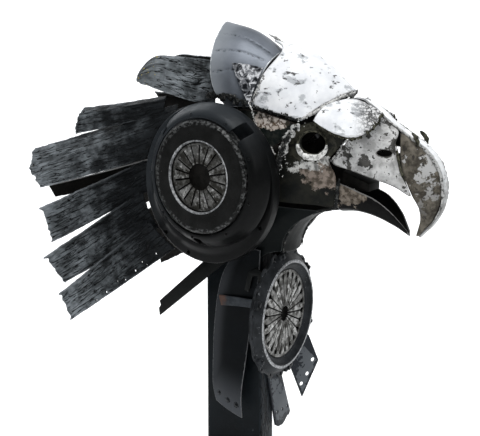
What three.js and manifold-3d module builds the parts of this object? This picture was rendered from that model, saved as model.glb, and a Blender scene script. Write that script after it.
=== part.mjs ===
// Scrap metal eagle: the head and neck of an eagle, welded from cut sheet steel, two vehicle
// clutch covers for ears, a third on the breast, and strips of cracked plate for neck feathers.
// A rectangular steel post on a base plate carries it.
// Millimetres, +Z up, the beak points along +X, and the origin is at the centre of the base
// plate's underside. Pieces named _right are on the eagle's right side, where Y is negative.
import * as THREE from 'three';
import { mergeVertices } from 'three/addons/utils/BufferGeometryUtils.js';
import Module from 'manifold-3d';

const wasm = await Module();
wasm.setup();

// ---- Driving dimensions ----------------------------------------------------------------

const BASE = { length: 400, width: 300, thickness: 12, hole: 14, holeInset: 30 };
const POST = { length: 140, width: 60, wall: 5, corner: 8, top: 590 };
const HEAD_LEVEL = 620;          // height of the datum that the head's points are measured from
const SHEET = 4;                 // wall of the head's sheet steel
const FEATHER_WALL = 4;
const CLEARANCE = 0.4;           // gap kept between pieces that touch
const BLADE_BOLT = 4.5;          // radius of the bolt holes in the breast blades

const DRUM = {
  centre: [-13, -97, 89], radius: 170, lip: 150, shoulder: 136, bore: 90, depth: 30, skirt: 8,
  wall: 5, yaw: 6,
};
const EAR = { // clutch cover, pressure plate and diaphragm spring, on the clutch's own axis
  centre: [4, -130, 111], outer: 152, face: 122, rise: 36, wall: 4,
  ring: 118, ringInner: 74, ringFace: 42, spring: 72, hub: 28, fingers: 18, slot: 4,
};
const CHEST = {
  centre: [104, 0, -201], pitch: 2, outer: 142, lobe: 4, lobes: 18, ring: 116, rise: 17,
  wall: 4, spring: 96, hub: 18, fingers: 24, slot: 3, window: 9,
};
const EYE = { centre: [218, -82, 185], length: 55, height: 46, rim: 4.5, yaw: 12 };
const NOSTRIL = { centre: [354, -38, 168], length: 30, height: 14 };

// ---- Making and placing solids ---------------------------------------------------------

const eagle = new THREE.Group();
const sculpture = new THREE.Group();
sculpture.position.z = HEAD_LEVEL;
eagle.add(sculpture);

const vector = ([x, y, z]) => new THREE.Vector3(x, y, z);

function closedMesh(points, faces) {
  const geometry = new THREE.BufferGeometry();
  geometry.setAttribute('position', new THREE.Float32BufferAttribute(points.flat(), 3));
  geometry.setIndex(faces.flat());
  return signedVolume(geometry) < 0 ? flipped(geometry) : geometry;
}

function signedVolume(geometry) {
  const place = geometry.getAttribute('position');
  const index = geometry.index.array;
  const [a, b, c] = [new THREE.Vector3(), new THREE.Vector3(), new THREE.Vector3()];
  let volume = 0;
  for (let i = 0; i < index.length; i += 3) {
    a.fromBufferAttribute(place, index[i]);
    b.fromBufferAttribute(place, index[i + 1]);
    c.fromBufferAttribute(place, index[i + 2]);
    volume += a.dot(b.cross(c)) / 6;
  }
  return volume;
}

function flipped(geometry) {
  const index = geometry.index.array;
  for (let i = 0; i < index.length; i += 3) {
    [index[i], index[i + 1]] = [index[i + 1], index[i]];
  }
  return geometry;
}

function welded(geometry) {
  const bare = geometry.clone();
  bare.deleteAttribute('normal');
  bare.deleteAttribute('uv');
  return mergeVertices(bare, 1e-3);
}

function mirrored(geometry) {
  return flipped(welded(geometry).scale(1, -1, 1));
}

function solid(geometry) {
  const bare = welded(geometry);
  return new wasm.Manifold(new wasm.Mesh({
    numProp: 3,
    vertProperties: new Float32Array(bare.getAttribute('position').array),
    triVerts: new Uint32Array(bare.index.array),
  }));
}

function surface(body) {
  const { vertProperties, triVerts, numProp } = body.getMesh();
  const points = [];
  for (let i = 0; i < vertProperties.length; i += numProp) {
    points.push([...vertProperties.slice(i, i + 3)]);
  }
  return closedMesh(points, [...triVerts]);
}

// The largest body left of a piece after its neighbours are cut away.
function cut(geometry, ...tools) {
  let body = solid(geometry);
  for (const tool of tools) body = body.subtract(solid(tool));
  const parts = body.decompose();
  parts.sort((a, b) => b.volume() - a.volume());
  return surface(parts[0]);
}

// A cutter: the piece with its skin moved out by the clearance.
function grown(geometry, by = CLEARANCE) {
  const bare = welded(geometry);
  bare.computeVertexNormals();
  const place = bare.getAttribute('position');
  const normal = bare.getAttribute('normal');
  for (let i = 0; i < place.count; i += 1) {
    place.setXYZ(
      i,
      place.getX(i) + normal.getX(i) * by,
      place.getY(i) + normal.getY(i) * by,
      place.getZ(i) + normal.getZ(i) * by,
    );
  }
  return bare;
}

function piece(name, geometry, finish, parent = sculpture) {
  const mesh = new THREE.Mesh(geometry, new THREE.MeshStandardMaterial(finish));
  mesh.name = name;
  parent.add(mesh);
  return geometry;
}

function pair(name, right, finish) {
  piece(`${name}_right`, right, finish);
  piece(`${name}_left`, mirrored(right), finish);
  return right;
}

// ---- Bent plates -----------------------------------------------------------------------

// The points of one row of a plate: on a smooth curve through the row, or, where counts are
// given, on its straight segments, which keeps a folded corner sharp.
function spread(row, across) {
  if (!Array.isArray(across)) {
    return new THREE.CatmullRomCurve3(row.map(vector)).getSpacedPoints(across);
  }
  const points = [vector(row[0])];
  across.forEach((count, segment) => {
    for (let k = 1; k <= count; k += 1) {
      points.push(vector(row[segment]).lerp(vector(row[segment + 1]), k / count));
    }
  });
  return points;
}

function lofted(rows, along) {
  const columns = rows[0].map((_, j) => new THREE.CatmullRomCurve3(rows.map((row) => row[j])));
  return Array.from({ length: along + 1 }, (_, i) => (
    columns.map((column) => column.getPoint(i / along))));
}

// The wall of a grid of points, grown towards the point `inside`.
function thickened(grid, wall, inside, ring = false) {
  const height = grid.length;
  const width = grid[0].length;
  const at = (i, j) => {
    const row = grid[Math.min(Math.max(i, 0), height - 1)];
    return row[ring ? (j + width) % width : Math.min(Math.max(j, 0), width - 1)];
  };
  const normals = grid.map((row, i) => row.map((_, j) => {
    const down = at(i + 1, j).clone().sub(at(i - 1, j));
    const over = at(i, j + 1).clone().sub(at(i, j - 1));
    return down.cross(over).normalize();
  }));
  const middle = grid[height >> 1][width >> 1];
  const inward = vector(inside).sub(middle);
  const side = normals[height >> 1][width >> 1].dot(inward) > 0 ? 1 : -1;
  const points = [];
  for (const layer of [0, wall]) {
    grid.forEach((row, i) => row.forEach((point, j) => {
      points.push(point.clone().addScaledVector(normals[i][j], side * layer).toArray());
    }));
  }
  const id = (layer, i, j) => (layer * height + i) * width + (j % width);
  const faces = [];
  const quad = (a, b, c, d) => faces.push([a, b, c], [a, c, d]);
  const last = ring ? width : width - 1;
  for (let i = 0; i < height - 1; i += 1) {
    for (let j = 0; j < last; j += 1) {
      quad(id(0, i, j), id(0, i, j + 1), id(0, i + 1, j + 1), id(0, i + 1, j));
      quad(id(1, i, j), id(1, i + 1, j), id(1, i + 1, j + 1), id(1, i, j + 1));
    }
  }
  for (let j = 0; j < last; j += 1) {
    quad(id(0, 0, j), id(1, 0, j), id(1, 0, j + 1), id(0, 0, j + 1));
    quad(id(0, height - 1, j), id(0, height - 1, j + 1), id(1, height - 1, j + 1), id(1, height - 1, j));
  }
  if (!ring) {
    const end = width - 1;
    for (let i = 0; i < height - 1; i += 1) {
      quad(id(0, i, 0), id(0, i + 1, 0), id(1, i + 1, 0), id(1, i, 0));
      quad(id(0, i, end), id(1, i, end), id(1, i + 1, end), id(0, i + 1, end));
    }
  }
  return closedMesh(points, faces);
}

const HEAD_MIDDLE = [120, 0, 210];
const BEAK_MIDDLE = [340, 0, 120];
const NECK_MIDDLE = [60, 0, 0];

function plate(rows, { across = 6, along = 6, wall = SHEET, inside = HEAD_MIDDLE } = {}) {
  return thickened(lofted(rows.map((row) => spread(row, across)), along), wall, inside);
}

// A plate with one hole: rings of points from the hole's edge out to the plate's outline.
function piercedPlate(outline, hole, { around = 24, rings = 3, bulge = 0, inside = HEAD_MIDDLE }) {
  const loop = outline.map(vector);
  const path = new THREE.CatmullRomCurve3(loop, true, 'centripetal', 0.5);
  const edge = Array.from({ length: around }, (_, k) => path.getPointAt(k / around));
  const grid = Array.from({ length: rings + 1 }, (_, i) => edge.map((point) => {
    const out = i / rings;
    const lip = hole(Math.atan2(point.z - hole.centre[2], point.x - hole.centre[0]));
    const spot = lip.lerp(point, out);
    spot.y -= bulge * 4 * out * (1 - out);
    return spot;
  }));
  return thickened(grid, SHEET, inside, true);
}

function ellipse(centre, halfLength, halfHeight, slopeY = 0) {
  const edge = (angle) => new THREE.Vector3(
    centre[0] + halfLength * Math.cos(angle),
    centre[1] + slopeY * halfLength * Math.cos(angle),
    centre[2] + halfHeight * Math.sin(angle),
  );
  edge.centre = centre;
  return edge;
}

const bothSides = (half) => [...half, ...half.slice(0, -1).reverse().map(([x, y, z]) => [x, -y, z])];

// ---- Turned and pressed parts ----------------------------------------------------------

// A closed profile of [radius, height] turned about +Z.
function turned(profile, segments = 20) {
  const points = profile.map(([r, h]) => new THREE.Vector2(r, h));
  points.push(points[0].clone());
  const geometry = welded(new THREE.LatheGeometry(points, segments).rotateX(Math.PI / 2));
  return signedVolume(geometry) < 0 ? flipped(geometry) : geometry;
}

function extruded(shape, depth, curveSegments = 4) {
  return new THREE.ExtrudeGeometry(shape, { depth, bevelEnabled: false, curveSegments });
}

function box(length, width, height, at = [0, 0, 0]) {
  return new THREE.BoxGeometry(length, width, height).translate(...at);
}

function rod(radius, length, segments = 12) {
  return new THREE.CylinderGeometry(radius, radius, length, segments);
}

// A diaphragm spring: a dished disc cut into fingers by slots that run out from its hub.
function diaphragm({ spring, hub, fingers, slot, window = 0 }, thickness) {
  const pitch = (2 * Math.PI) / fingers;
  const disc = new THREE.Shape();
  disc.absarc(0, 0, spring, 0, 2 * Math.PI);
  const slots = new THREE.Path();
  const reach = spring - (window ? 14 : 5);
  const polar = (radius, angle) => [radius * Math.cos(angle), radius * Math.sin(angle)];
  for (let k = 0; k < fingers; k += 1) {
    const middle = k * pitch;
    const near = slot / 2 / hub;
    const far = slot / 2 / reach;
    if (k === 0) slots.moveTo(...polar(hub, middle - pitch + near));
    slots.lineTo(...polar(hub, middle - near));
    if (window) {
      const wide = window / 2 / reach;
      slots.lineTo(...polar(reach - window / 2, middle - far));
      slots.lineTo(...polar(reach + window / 2, middle - wide));
      slots.lineTo(...polar(reach + window / 2, middle + wide));
      slots.lineTo(...polar(reach - window / 2, middle + far));
    } else {
      slots.lineTo(...polar(reach, middle - far));
      slots.lineTo(...polar(reach, middle + far));
    }
    slots.lineTo(...polar(hub, middle + near));
  }
  slots.closePath();
  disc.holes.push(slots);
  return extruded(disc, thickness, 9);
}

// Turns a part made about +Z so that its axis points out of the eagle's right side.
function onRightSide(geometry, centre, yaw) {
  return geometry
    .rotateX(Math.PI / 2)
    .rotateZ(THREE.MathUtils.degToRad(-yaw))
    .translate(...centre);
}

// Turns a part made about +Z so that its axis points forward from the breast.
function onBreast(geometry) {
  return geometry
    .rotateY(Math.PI / 2 + THREE.MathUtils.degToRad(CHEST.pitch))
    .translate(...CHEST.centre);
}

// ---- Finishes --------------------------------------------------------------------------

const WHITE = { color: 0xdcdcd9, roughness: 0.6, metalness: 0.1 };
const BLUE_GREY = { color: 0x8b939c, roughness: 0.5, metalness: 0.3 };
const DARK = { color: 0x3d4247, roughness: 0.6, metalness: 0.4 };
const SLATE = { color: 0x59616b, roughness: 0.55, metalness: 0.4 };
const RUSTED = { color: 0x8a7a66, roughness: 0.85, metalness: 0.1 };
const BEAK = { color: 0x9a9892, roughness: 0.6, metalness: 0.2 };
const BARE = { color: 0xa3a39b, roughness: 0.4, metalness: 0.8 };
const WELD = { color: 0x77756f, roughness: 0.75, metalness: 0.4 };
const BARK = { color: 0x6b737b, roughness: 0.7, metalness: 0.3 };

// ---- Base plate and post ---------------------------------------------------------------

const baseShape = new THREE.Shape();
baseShape.moveTo(-BASE.length / 2, -BASE.width / 2);
baseShape.lineTo(BASE.length / 2, -BASE.width / 2);
baseShape.lineTo(BASE.length / 2, BASE.width / 2);
baseShape.lineTo(-BASE.length / 2, BASE.width / 2);
for (const sx of [-1, 1]) {
  for (const sy of [-1, 1]) {
    const hole = new THREE.Path();
    const x = sx * (BASE.length / 2 - BASE.holeInset);
    const y = sy * (BASE.width / 2 - BASE.holeInset);
    hole.absarc(x, y, BASE.hole / 2, 0, 2 * Math.PI);
    baseShape.holes.push(hole);
  }
}
piece('base_plate', extruded(baseShape, BASE.thickness, 3), DARK, eagle);

function roundedRectangle(path, length, width, radius) {
  const [x, y] = [length / 2 - radius, width / 2 - radius];
  path.absarc(x, y, radius, 0, Math.PI / 2);
  path.absarc(-x, y, radius, Math.PI / 2, Math.PI);
  path.absarc(-x, -y, radius, Math.PI, 1.5 * Math.PI);
  path.absarc(x, -y, radius, 1.5 * Math.PI, 2 * Math.PI);
  return path;
}
const postShape = roundedRectangle(new THREE.Shape(), POST.length, POST.width, POST.corner);
const bore = [POST.length - 2 * POST.wall, POST.width - 2 * POST.wall, POST.corner - POST.wall];
postShape.holes.push(roundedRectangle(new THREE.Path(), ...bore));
const postFoot = BASE.thickness + CLEARANCE;
piece('post', extruded(postShape, POST.top - postFoot, 2).translate(0, 0, postFoot), DARK, eagle);

// ---- Ears: drum, clutch cover, pressure plate and diaphragm spring ----------------------

const drum = onRightSide(turned([
  [DRUM.radius, -DRUM.skirt], [DRUM.radius, 18], [DRUM.lip, 20], [DRUM.shoulder, DRUM.depth],
  [DRUM.bore, DRUM.depth], [DRUM.bore, DRUM.depth - DRUM.wall], [DRUM.shoulder - 3, DRUM.depth - DRUM.wall],
  [DRUM.lip - 3, 14], [DRUM.radius - DRUM.wall, 13], [DRUM.radius - DRUM.wall, -DRUM.skirt],
]), DRUM.centre, DRUM.yaw);
pair('ear_drum', drum, DARK);
// The space that the drum fills and closes off, which the feathers stop short of.
const drumSpace = onRightSide(turned([
  [0, -60], [DRUM.radius + CLEARANCE, -60], [DRUM.radius + CLEARANCE, 60], [0, 60],
]), DRUM.centre, DRUM.yaw);

const coverProfile = [
  [EAR.outer, 0], [148, 11], [137, EAR.rise - 7], [128, EAR.rise], [EAR.face, EAR.rise],
  [EAR.face, EAR.rise - EAR.wall], [130, EAR.rise - 9], [146, 0],
];
const WINDOW = { angles: [45, 137, 167, 265], length: 30, width: 30, height: 26, radius: 138 };
const coverWindows = WINDOW.angles.map((angle) => {
  const turn = THREE.MathUtils.degToRad(angle);
  return box(WINDOW.length, WINDOW.width, WINDOW.height).rotateZ(turn)
    .translate(WINDOW.radius * Math.cos(turn), WINDOW.radius * Math.sin(turn), 24);
});
const cover = onRightSide(cut(turned(coverProfile), ...coverWindows), EAR.centre, DRUM.yaw);
pair('ear_cover', cover, DARK);

const pressurePlate = onRightSide(turned([
  [EAR.ring, 14], [EAR.ring, 38], [EAR.ring - 5, EAR.ringFace], [EAR.ringInner, EAR.ringFace + 1],
  [EAR.ringInner, 34], [EAR.hub, 22], [0, 22], [0, 14],
]), EAR.centre, DRUM.yaw);
pair('ear_pressure_plate', pressurePlate, DARK);

const earSpring = onRightSide(diaphragm(EAR, 3).translate(0, 0, 36), EAR.centre, DRUM.yaw);
pair('ear_spring', earSpring, BARE);

// ---- Breast: clutch cover, pressure plate and diaphragm spring --------------------------

const scallops = new THREE.Shape();
const SCALLOP_STEPS = CHEST.lobes * 3;
for (let k = 0; k < SCALLOP_STEPS; k += 1) {
  const angle = (k / SCALLOP_STEPS) * 2 * Math.PI;
  const radius = CHEST.outer + CHEST.lobe * Math.sign(Math.cos(CHEST.lobes * angle) - 0.2);
  const step = [radius * Math.cos(angle), radius * Math.sin(angle)];
  if (k === 0) scallops.moveTo(...step);
  else scallops.lineTo(...step);
}
const flangeHole = new THREE.Path();
flangeHole.absarc(0, 0, 118, 0, 2 * Math.PI);
scallops.holes.push(flangeHole);
const dish = turned([
  [134, 0], [130, 8], [CHEST.ring + 4, CHEST.rise + 1], [CHEST.ring - 1, CHEST.rise + 3],
  [CHEST.ring - 6, CHEST.rise - 3], [100, CHEST.rise - 9], [100, CHEST.rise - 12], [118, 0],
], 24);
const chestCover = surface(solid(extruded(scallops, CHEST.wall, 9)).add(solid(dish)));
piece('chest_cover', onBreast(chestCover), SLATE);

piece('chest_spring', onBreast(diaphragm(CHEST, 3).translate(0, 0, 5)), BARE);

const backing = onBreast(turned([
  [0, -31], [50, -31], [50, -18], [112, -18], [112, -3], [0, -8],
]));
piece('chest_pressure_plate', backing, DARK);
const backingSpace = grown(backing);

// ---- Neck: side plates, throat plate and strut ------------------------------------------

const neckSide = plate([
  [[34, -70, 50], [90, -68, 48], [150, -58, 43], [214, -46.5, 40]],
  [[34, -67, 10], [80, -64, 8], [120, -58, 6], [152, -46.5, 1]],
  [[28, -61, -42], [60, -61, -38], [100, -55, -30], [133, -46.5, -30]],
  [[24, -58, -100], [60, -56, -88], [95, -53, -62], [129, -46.5, -53]],
], { inside: NECK_MIDDLE, across: 4, along: 4 });
pair('neck_side', neckSide, DARK);

const throatLine = [[239, 37, 43], [214, 42, 39], [178, 42, 25], [150, 42, -1], [134, 42, -32],
  [130, 42, -56]];
piece('throat_plate', plate(throatLine.map(([x, half, z]) => [
  [x, -half, z], [x + 5, -half / 2, z - 2], [x + 7, 0, z - 3], [x + 5, half / 2, z - 2], [x, half, z],
]), { inside: NECK_MIDDLE, across: 4, along: 6 }), SLATE);

const STRUT = { top: [8, -86, -58], bottom: [-154, -86, -203], width: 30, thickness: 6 };
const strutShape = new THREE.Shape();
strutShape.moveTo(STRUT.top[0] - 12, STRUT.top[2] + 4);
strutShape.lineTo(STRUT.top[0] + 14, STRUT.top[2] - 18);
strutShape.lineTo(STRUT.bottom[0], STRUT.bottom[2] - 17);
strutShape.lineTo(STRUT.bottom[0], STRUT.bottom[2] + 17);
const strut = extruded(strutShape, STRUT.thickness).rotateX(Math.PI / 2);
piece('strut_right', cut(strut.translate(0, STRUT.top[1], 0), drumSpace), SLATE);

// ---- Breast feathers: long blades and their brackets ------------------------------------

const bladeHoles = [[-17, -384], [6, -397], [26, -406]].map(([x, z]) => (
  rod(BLADE_BOLT, 60, 6).translate(x, -62, z)));
const blade = cut(plate([
  [[35, -66, -48], [60, -69, -50], [88, -67, -52]],
  [[-3, -66, -106], [35, -71, -108], [85, -68, -110]],
  [[-18, -65, -152], [20, -70, -155], [75, -66, -158]],
  [[-29, -63, -221], [8, -68, -224], [62, -64, -228]],
  [[-34, -61, -291], [0, -66, -296], [50, -62, -302]],
  [[-35, -60, -372], [0, -65, -378], [38, -61, -386]],
  [[-27, -60, -405], [4, -64, -420], [40, -61, -436]],
], { inside: [20, 0, -230], across: 3, along: 7 }), ...bladeHoles);
pair('breast_blade', blade, SLATE);

pair('chest_bracket', cut(plate([
  [[-11, -76, -158], [-5, -76, -181]],
  [[45, -77, -158], [45, -77, -178]],
  [[102, -77, -160], [102, -77, -178]],
], { inside: [40, 0, -170], across: 2, along: 3, wall: 4 }), backingSpace), SLATE);

const tabShape = new THREE.Shape();
[[55, -140], [65, -99], [84, -90], [100, -97], [101, -121], [91, -121], [87, -105], [75, -108],
  [66, -143]]
  .forEach(([x, z], k) => (k ? tabShape.lineTo(x, z) : tabShape.moveTo(x, z)));
const tab = extruded(tabShape, 4).rotateX(Math.PI / 2).translate(0, -73, 0);
piece('chest_tab_right', cut(tab, backingSpace), SLATE);

const frontShape = new THREE.Shape();
[[-30, -264], [45, -264], [60, -362], [103, -462], [96, -470], [88, -468], [76, -478], [64, -483],
  [46, -482], [32, -474]]
  .forEach(([y, z], k) => (k ? frontShape.lineTo(y, z) : frontShape.moveTo(y, z)));
for (const y of [41, 64, 88]) {
  const hole = new THREE.Path();
  hole.absarc(y, -446, BLADE_BOLT, 0, 2 * Math.PI);
  frontShape.holes.push(hole);
}
// A shape drawn in Y and Z, extruded along X.
function acrossFront(shape, thickness, x) {
  const turn = new THREE.Matrix4().set(0, 0, 1, x, 1, 0, 0, 0, 0, 1, 0, 0, 0, 0, 0, 1);
  return extruded(shape, thickness).applyMatrix4(turn);
}
piece('front_blade', acrossFront(frontShape, 4, 71), SLATE);

const FLANK = { root: [72, 87], heading: 55 };
const flankShape = new THREE.Shape();
[[-8, -250], [56, -283], [82, -346], [40, -429], [12, -360]]
  .forEach(([u, z], k) => (k ? flankShape.lineTo(u, z) : flankShape.moveTo(u, z)));
for (const [u, z] of [[38, -397], [53, -375], [67, -343]]) {
  const hole = new THREE.Path();
  hole.absarc(u, z, BLADE_BOLT, 0, 2 * Math.PI);
  flankShape.holes.push(hole);
}
piece('flank_blade', extruded(flankShape, 4)
  .rotateX(Math.PI / 2)
  .rotateZ(THREE.MathUtils.degToRad(FLANK.heading))
  .translate(FLANK.root[0], FLANK.root[1], 0), SLATE);

// ---- Neck feathers ---------------------------------------------------------------------

// A folded strip: points of its section at the root and at the tip, from the free edge of the
// flange over the fold to the bottom edge of the web. The tip is torn to a ragged end.
function feather({ root, tip, tear = 7, sag = 0, inside }) {
  const ALONG = 3;
  const rows = Array.from({ length: ALONG + 1 }, (_, i) => {
    const s = i / ALONG;
    return root.map((start, k) => {
      const point = vector(start).lerp(vector(tip[k]), s);
      point.z -= sag * 4 * s * (1 - s);
      return point.toArray();
    });
  });
  const grid = rows.map((row) => spread(row, [1, 3]));
  const ragged = grid[ALONG];
  const direction = ragged[1].clone().sub(grid[ALONG - 1][1]).normalize();
  ragged.forEach((point, j) => point.addScaledVector(direction, j % 2 ? -tear : 0));
  return thickened(grid, FEATHER_WALL, inside);
}

const FEATHERS = [
  { name: 'feather_2', tear: 5, inside: [-250, 0, 200], left: { reach: 0.6, lift: 18 },
    root: [[-150, -58, 268], [-147, -75, 260], [-150, -70, 242]],
    tip: [[-360, -84, 236], [-366, -100, 222], [-376, -104, 182]] },
  { name: 'feather_3', tear: 6, inside: [-300, 0, 120],
    root: [[-120, -62, 252], [-112, -86, 216], [-114, -88, 152]],
    tip: [[-497, -106, 135], [-487, -135, 90], [-452, -135, 50]] },
  { name: 'feather_4', tear: 4, inside: [-300, 0, 60],
    root: [[-140, -30, 146], [-138, -52, 142], [-140, -54, 100]],
    tip: [[-470, -56, 50], [-472, -78, 46], [-452, -80, 22]] },
  { name: 'feather_5', tear: 6, inside: [-300, 0, 20],
    root: [[-118, -93, 156], [-118, -82, 153], [-118, -78, 94]],
    tip: [[-460, -142, 0], [-453, -130, -6], [-431, -126, -78]] },
  { name: 'feather_6', tear: 6, inside: [-300, 0, -80],
    root: [[-102, -109, 114], [-102, -98, 110], [-94, -94, 13]],
    tip: [[-446, -147, -116], [-437, -135, -117], [-396, -131, -169]] },
  { name: 'feather_7', tear: 7, inside: [-300, 0, -160], left: { reach: 0.74, lift: 40 },
    root: [[-89, -118, 54], [-89, -107, 50], [-86, -103, -48]],
    tip: [[-398, -152, -195], [-396, -141, -198], [-373, -137, -252]] },
];
// The left side's strips are set a little shorter and higher than the right side's.
for (const { name, left = { reach: 0.86, lift: 18 }, ...form } of FEATHERS) {
  piece(`${name}_right`, cut(feather(form), drumSpace), BARK);
  const tip = form.tip.map((end, k) => {
    const point = vector(form.root[k]).lerp(vector(end), left.reach);
    return [point.x, point.y, point.z + left.lift];
  });
  piece(`${name}_left`, mirrored(cut(feather({ ...form, tip }), drumSpace)), BARK);
}

pair('feather_1', plate([
  [[-22, -46, 344], [-22, -62, 300], [-24, -68, 250]],
  [[-80, -44, 349], [-80, -63, 304], [-80, -69, 257]],
  [[-135, -42, 352], [-132, -62, 312], [-128, -68, 268]],
  [[-184, -42, 353], [-180, -60, 318], [-178, -66, 281]],
  [[-211, -44, 339], [-208, -58, 316], [-206, -63, 289]],
  [[-229, -52, 317], [-231, -58, 306], [-231, -60, 295]],
], { inside: [-100, 0, 250], across: 4, along: 6, wall: FEATHER_WALL }), BARK);

// ---- Head: hood, crown, brows and side plates -------------------------------------------

piece('hood', plate([
  bothSides([[12, -80, 250], [-10, -90, 281], [-20, -92, 322], [-25, -77, 363], [-30, -45, 400],
    [-32, 0, 427]]),
  bothSides([[45, -82, 251], [36, -88, 274], [34, -87, 308], [37, -76, 347], [40, -45, 388],
    [40, 0, 406]]),
  bothSides([[76, -81, 252], [80, -79, 270], [86, -73, 300], [96, -60, 330], [104, -38, 352],
    [106, 0, 362]]),
], { across: 12, along: 4 }), BLUE_GREY);

const crown = piece('crown', plate([
  bothSides([[79, -88, 255], [98, -81, 316], [126, -50, 365], [112, -20, 380], [84, 0, 389]]),
  bothSides([[108, -91, 249], [128, -84, 306], [152, -52, 352], [156, -22, 366], [158, 0, 369]]),
  bothSides([[152, -91, 239], [172, -81, 283], [188, -50, 328], [195, -22, 345], [198, 0, 350]]),
  bothSides([[193, -88, 230], [220, -60, 256], [243, -35, 272], [262, -15, 283], [274, 0, 288]]),
], { across: 10, along: 5 }), WHITE);

pair('gusset', plate([
  [[28, -86, 343], [66, -82, 340], [100, -76, 333]],
  [[48, -93, 304], [70, -92, 302], [88, -88, 298]],
  [[70, -93, 264], [73, -93, 263], [77, -92.5, 262]],
], { across: 3, along: 3, wall: 3 }), BLUE_GREY);

const brow = pair('brow', plate([
  [[219, -87, 231], [221, -85, 235], [222, -83, 239]],
  [[242, -93, 219], [238, -84, 241], [235, -64, 260]],
  [[278, -96, 206], [267, -78, 242], [259, -30, 272]],
  [[311, -86, 202], [300, -62, 240], [282, -18, 272]],
  [[333, -62, 216], [327, -42, 240], [313, -17, 261]],
  [[345, -30, 240], [344, -24, 243], [342, -17, 246]],
], { across: 4, along: 6 }), WHITE);

pair('temple', plate([
  [[14, -76, 244], [75, -79, 246], [130, -82, 236], [180, -81, 222]],
  [[40, -77, 220], [90, -82, 213], [130, -83, 207], [164, -82, 202]],
  [[62, -77, 192], [100, -82, 171], [126, -83, 170], [146, -82, 186]],
], { across: 4, along: 3 }), RUSTED);

const eyeHole = ellipse(EYE.centre, EYE.length / 2, EYE.height / 2, 0.2);
pair('cheek', piercedPlate([
  [60, -76, 158], [110, -80, 162], [150, -83, 178], [170, -84, 205], [196, -82, 222],
  [228, -78, 229], [262, -69, 228], [282, -58, 214], [281, -55, 197], [259, -54, 171],
  [239, -51, 148], [250, -48, 122], [254, -47, 96], [249, -43, 62], [245, -42, 51],
  [210, -50, 53], [160, -61, 55], [108, -70, 58], [70, -73, 61], [55, -74, 100],
], eyeHole, { around: 22, rings: 2 }), DARK);

const eyeRim = turned(Array.from({ length: 5 }, (_, k) => {
  const angle = (k / 5) * 2 * Math.PI;
  return [EYE.height / 2 + 4 + EYE.rim * Math.cos(angle), EYE.rim * Math.sin(angle)];
}), 12).scale(EYE.length / EYE.height, 1, 1);
pair('eye_rim', onRightSide(eyeRim, [EYE.centre[0] + 1, -90, EYE.centre[2] - 1], -EYE.yaw), WELD);

const ribLine = [[190, -98, 222], [166, -98, 190], [150, -96, 152], [134, -93, 118], [118, -89, 80],
  [100, -83, 40]];
const ribCurve = new THREE.CatmullRomCurve3(ribLine.map(vector));
const ribRows = ribCurve.getSpacedPoints(7).map((point, i) => {
  const half = 11 * Math.min(1, 0.55 + 0.3 * Math.sin((i / 7) * Math.PI) + 0.2 * (1 - i / 7));
  const { x, y, z } = point;
  return [[x - half, y + 4, z + half * 0.4], [x, y, z], [x + half, y + 4, z - half * 0.4]];
});
pair('weld_rib', plate(ribRows, { across: 2, along: 7, wall: 4 }), WELD);

// ---- Beak ------------------------------------------------------------------------------

const culmenLine = [
  [280, 14, 290], [331, 15, 254], [366, 15, 226], [408, 15, 199], [441, 15, 176], [465, 14, 140],
  [474, 13, 98], [470, 10, 62], [451, 6, 28], [420, 2.5, -3],
];
const culmenRows = culmenLine.map(([x, half, z], i) => {
  const drop = 3;
  const from = culmenLine[Math.max(i - 1, 0)];
  const to = culmenLine[Math.min(i + 1, culmenLine.length - 1)];
  const run = new THREE.Vector2(to[0] - from[0], to[2] - from[2]).normalize();
  const edge = [x + run.y * drop, z - run.x * drop];
  return [[edge[0], -half, edge[1]], [x, 0, z], [edge[0], half, edge[1]]];
});
const culmen = plate(culmenRows, { across: 4, along: 12, inside: BEAK_MIDDLE });

const nostril = ellipse(NOSTRIL.centre, NOSTRIL.length / 2, NOSTRIL.height / 2, 0.25);
const cere = piercedPlate([
  [246, -51, 143], [264, -54, 168], [286, -56, 196], [306, -48, 217], [326, -34, 234], [343, -16, 236],
  [360, -14, 223], [374, -15, 211], [372, -23, 184], [388, -33, 132], [410, -34, 85], [378, -38, 101],
  [326, -42, 117], [283, -46, 130],
], nostril, { around: 20, rings: 2, bulge: 5, inside: BEAK_MIDDLE });

const hook = plate([
  [[379, -18, 208], [388, -18, 206], [396, -14, 200]],
  [[383, -27, 165], [408, -29, 176], [430, -14, 178]],
  [[392, -34, 131], [428, -32, 138], [456, -13, 144]],
  [[413, -34, 85], [443, -28, 98], [466, -12, 105]],
  [[425, -27, 60], [445, -22, 66], [462, -10, 68]],
  [[425, -17, 36], [436, -14, 37], [447, -6, 36]],
  [[413, -5, 0], [416, -4, 0], [419, -2.5, 1]],
], { across: 3, along: 7, inside: BEAK_MIDDLE });

// The beak's two halves stop short of the middle plane.
const farHalf = box(300, 60, 300, [400, 29.7, 100]);
const culmenCutter = grown(culmen);
const browCutter = grown(brow);
const crownCutter = grown(crown);
piece('culmen', cut(culmen, crownCutter, browCutter, mirrored(browCutter)), WHITE);
const cereTrimmed = pair('beak_side', cut(cere, culmenCutter, browCutter), BEAK);
pair('beak_hook', cut(hook, culmenCutter, grown(cereTrimmed), farHalf), BEAK);

piece('lower_beak', plate([
  [[258, -46, 103], [254, -44, 72], [253, -36, 49], [254, 0, 38]],
  [[294, -44, 90], [291, -42, 66], [290, -34, 49], [291, 0, 41]],
  [[336, -38, 72], [334, -36, 54], [333, -27, 38], [334, 0, 31]],
  [[368, -26, 45], [368, -24, 34], [370, -16, 20], [372, 0, 13]],
  [[395, -7, 8], [395, -6.5, 5], [396, -4, 1], [397, 0, -2]],
].map(bothSides), { across: 10, along: 5, inside: [310, 0, 110] }), BEAK);

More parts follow.
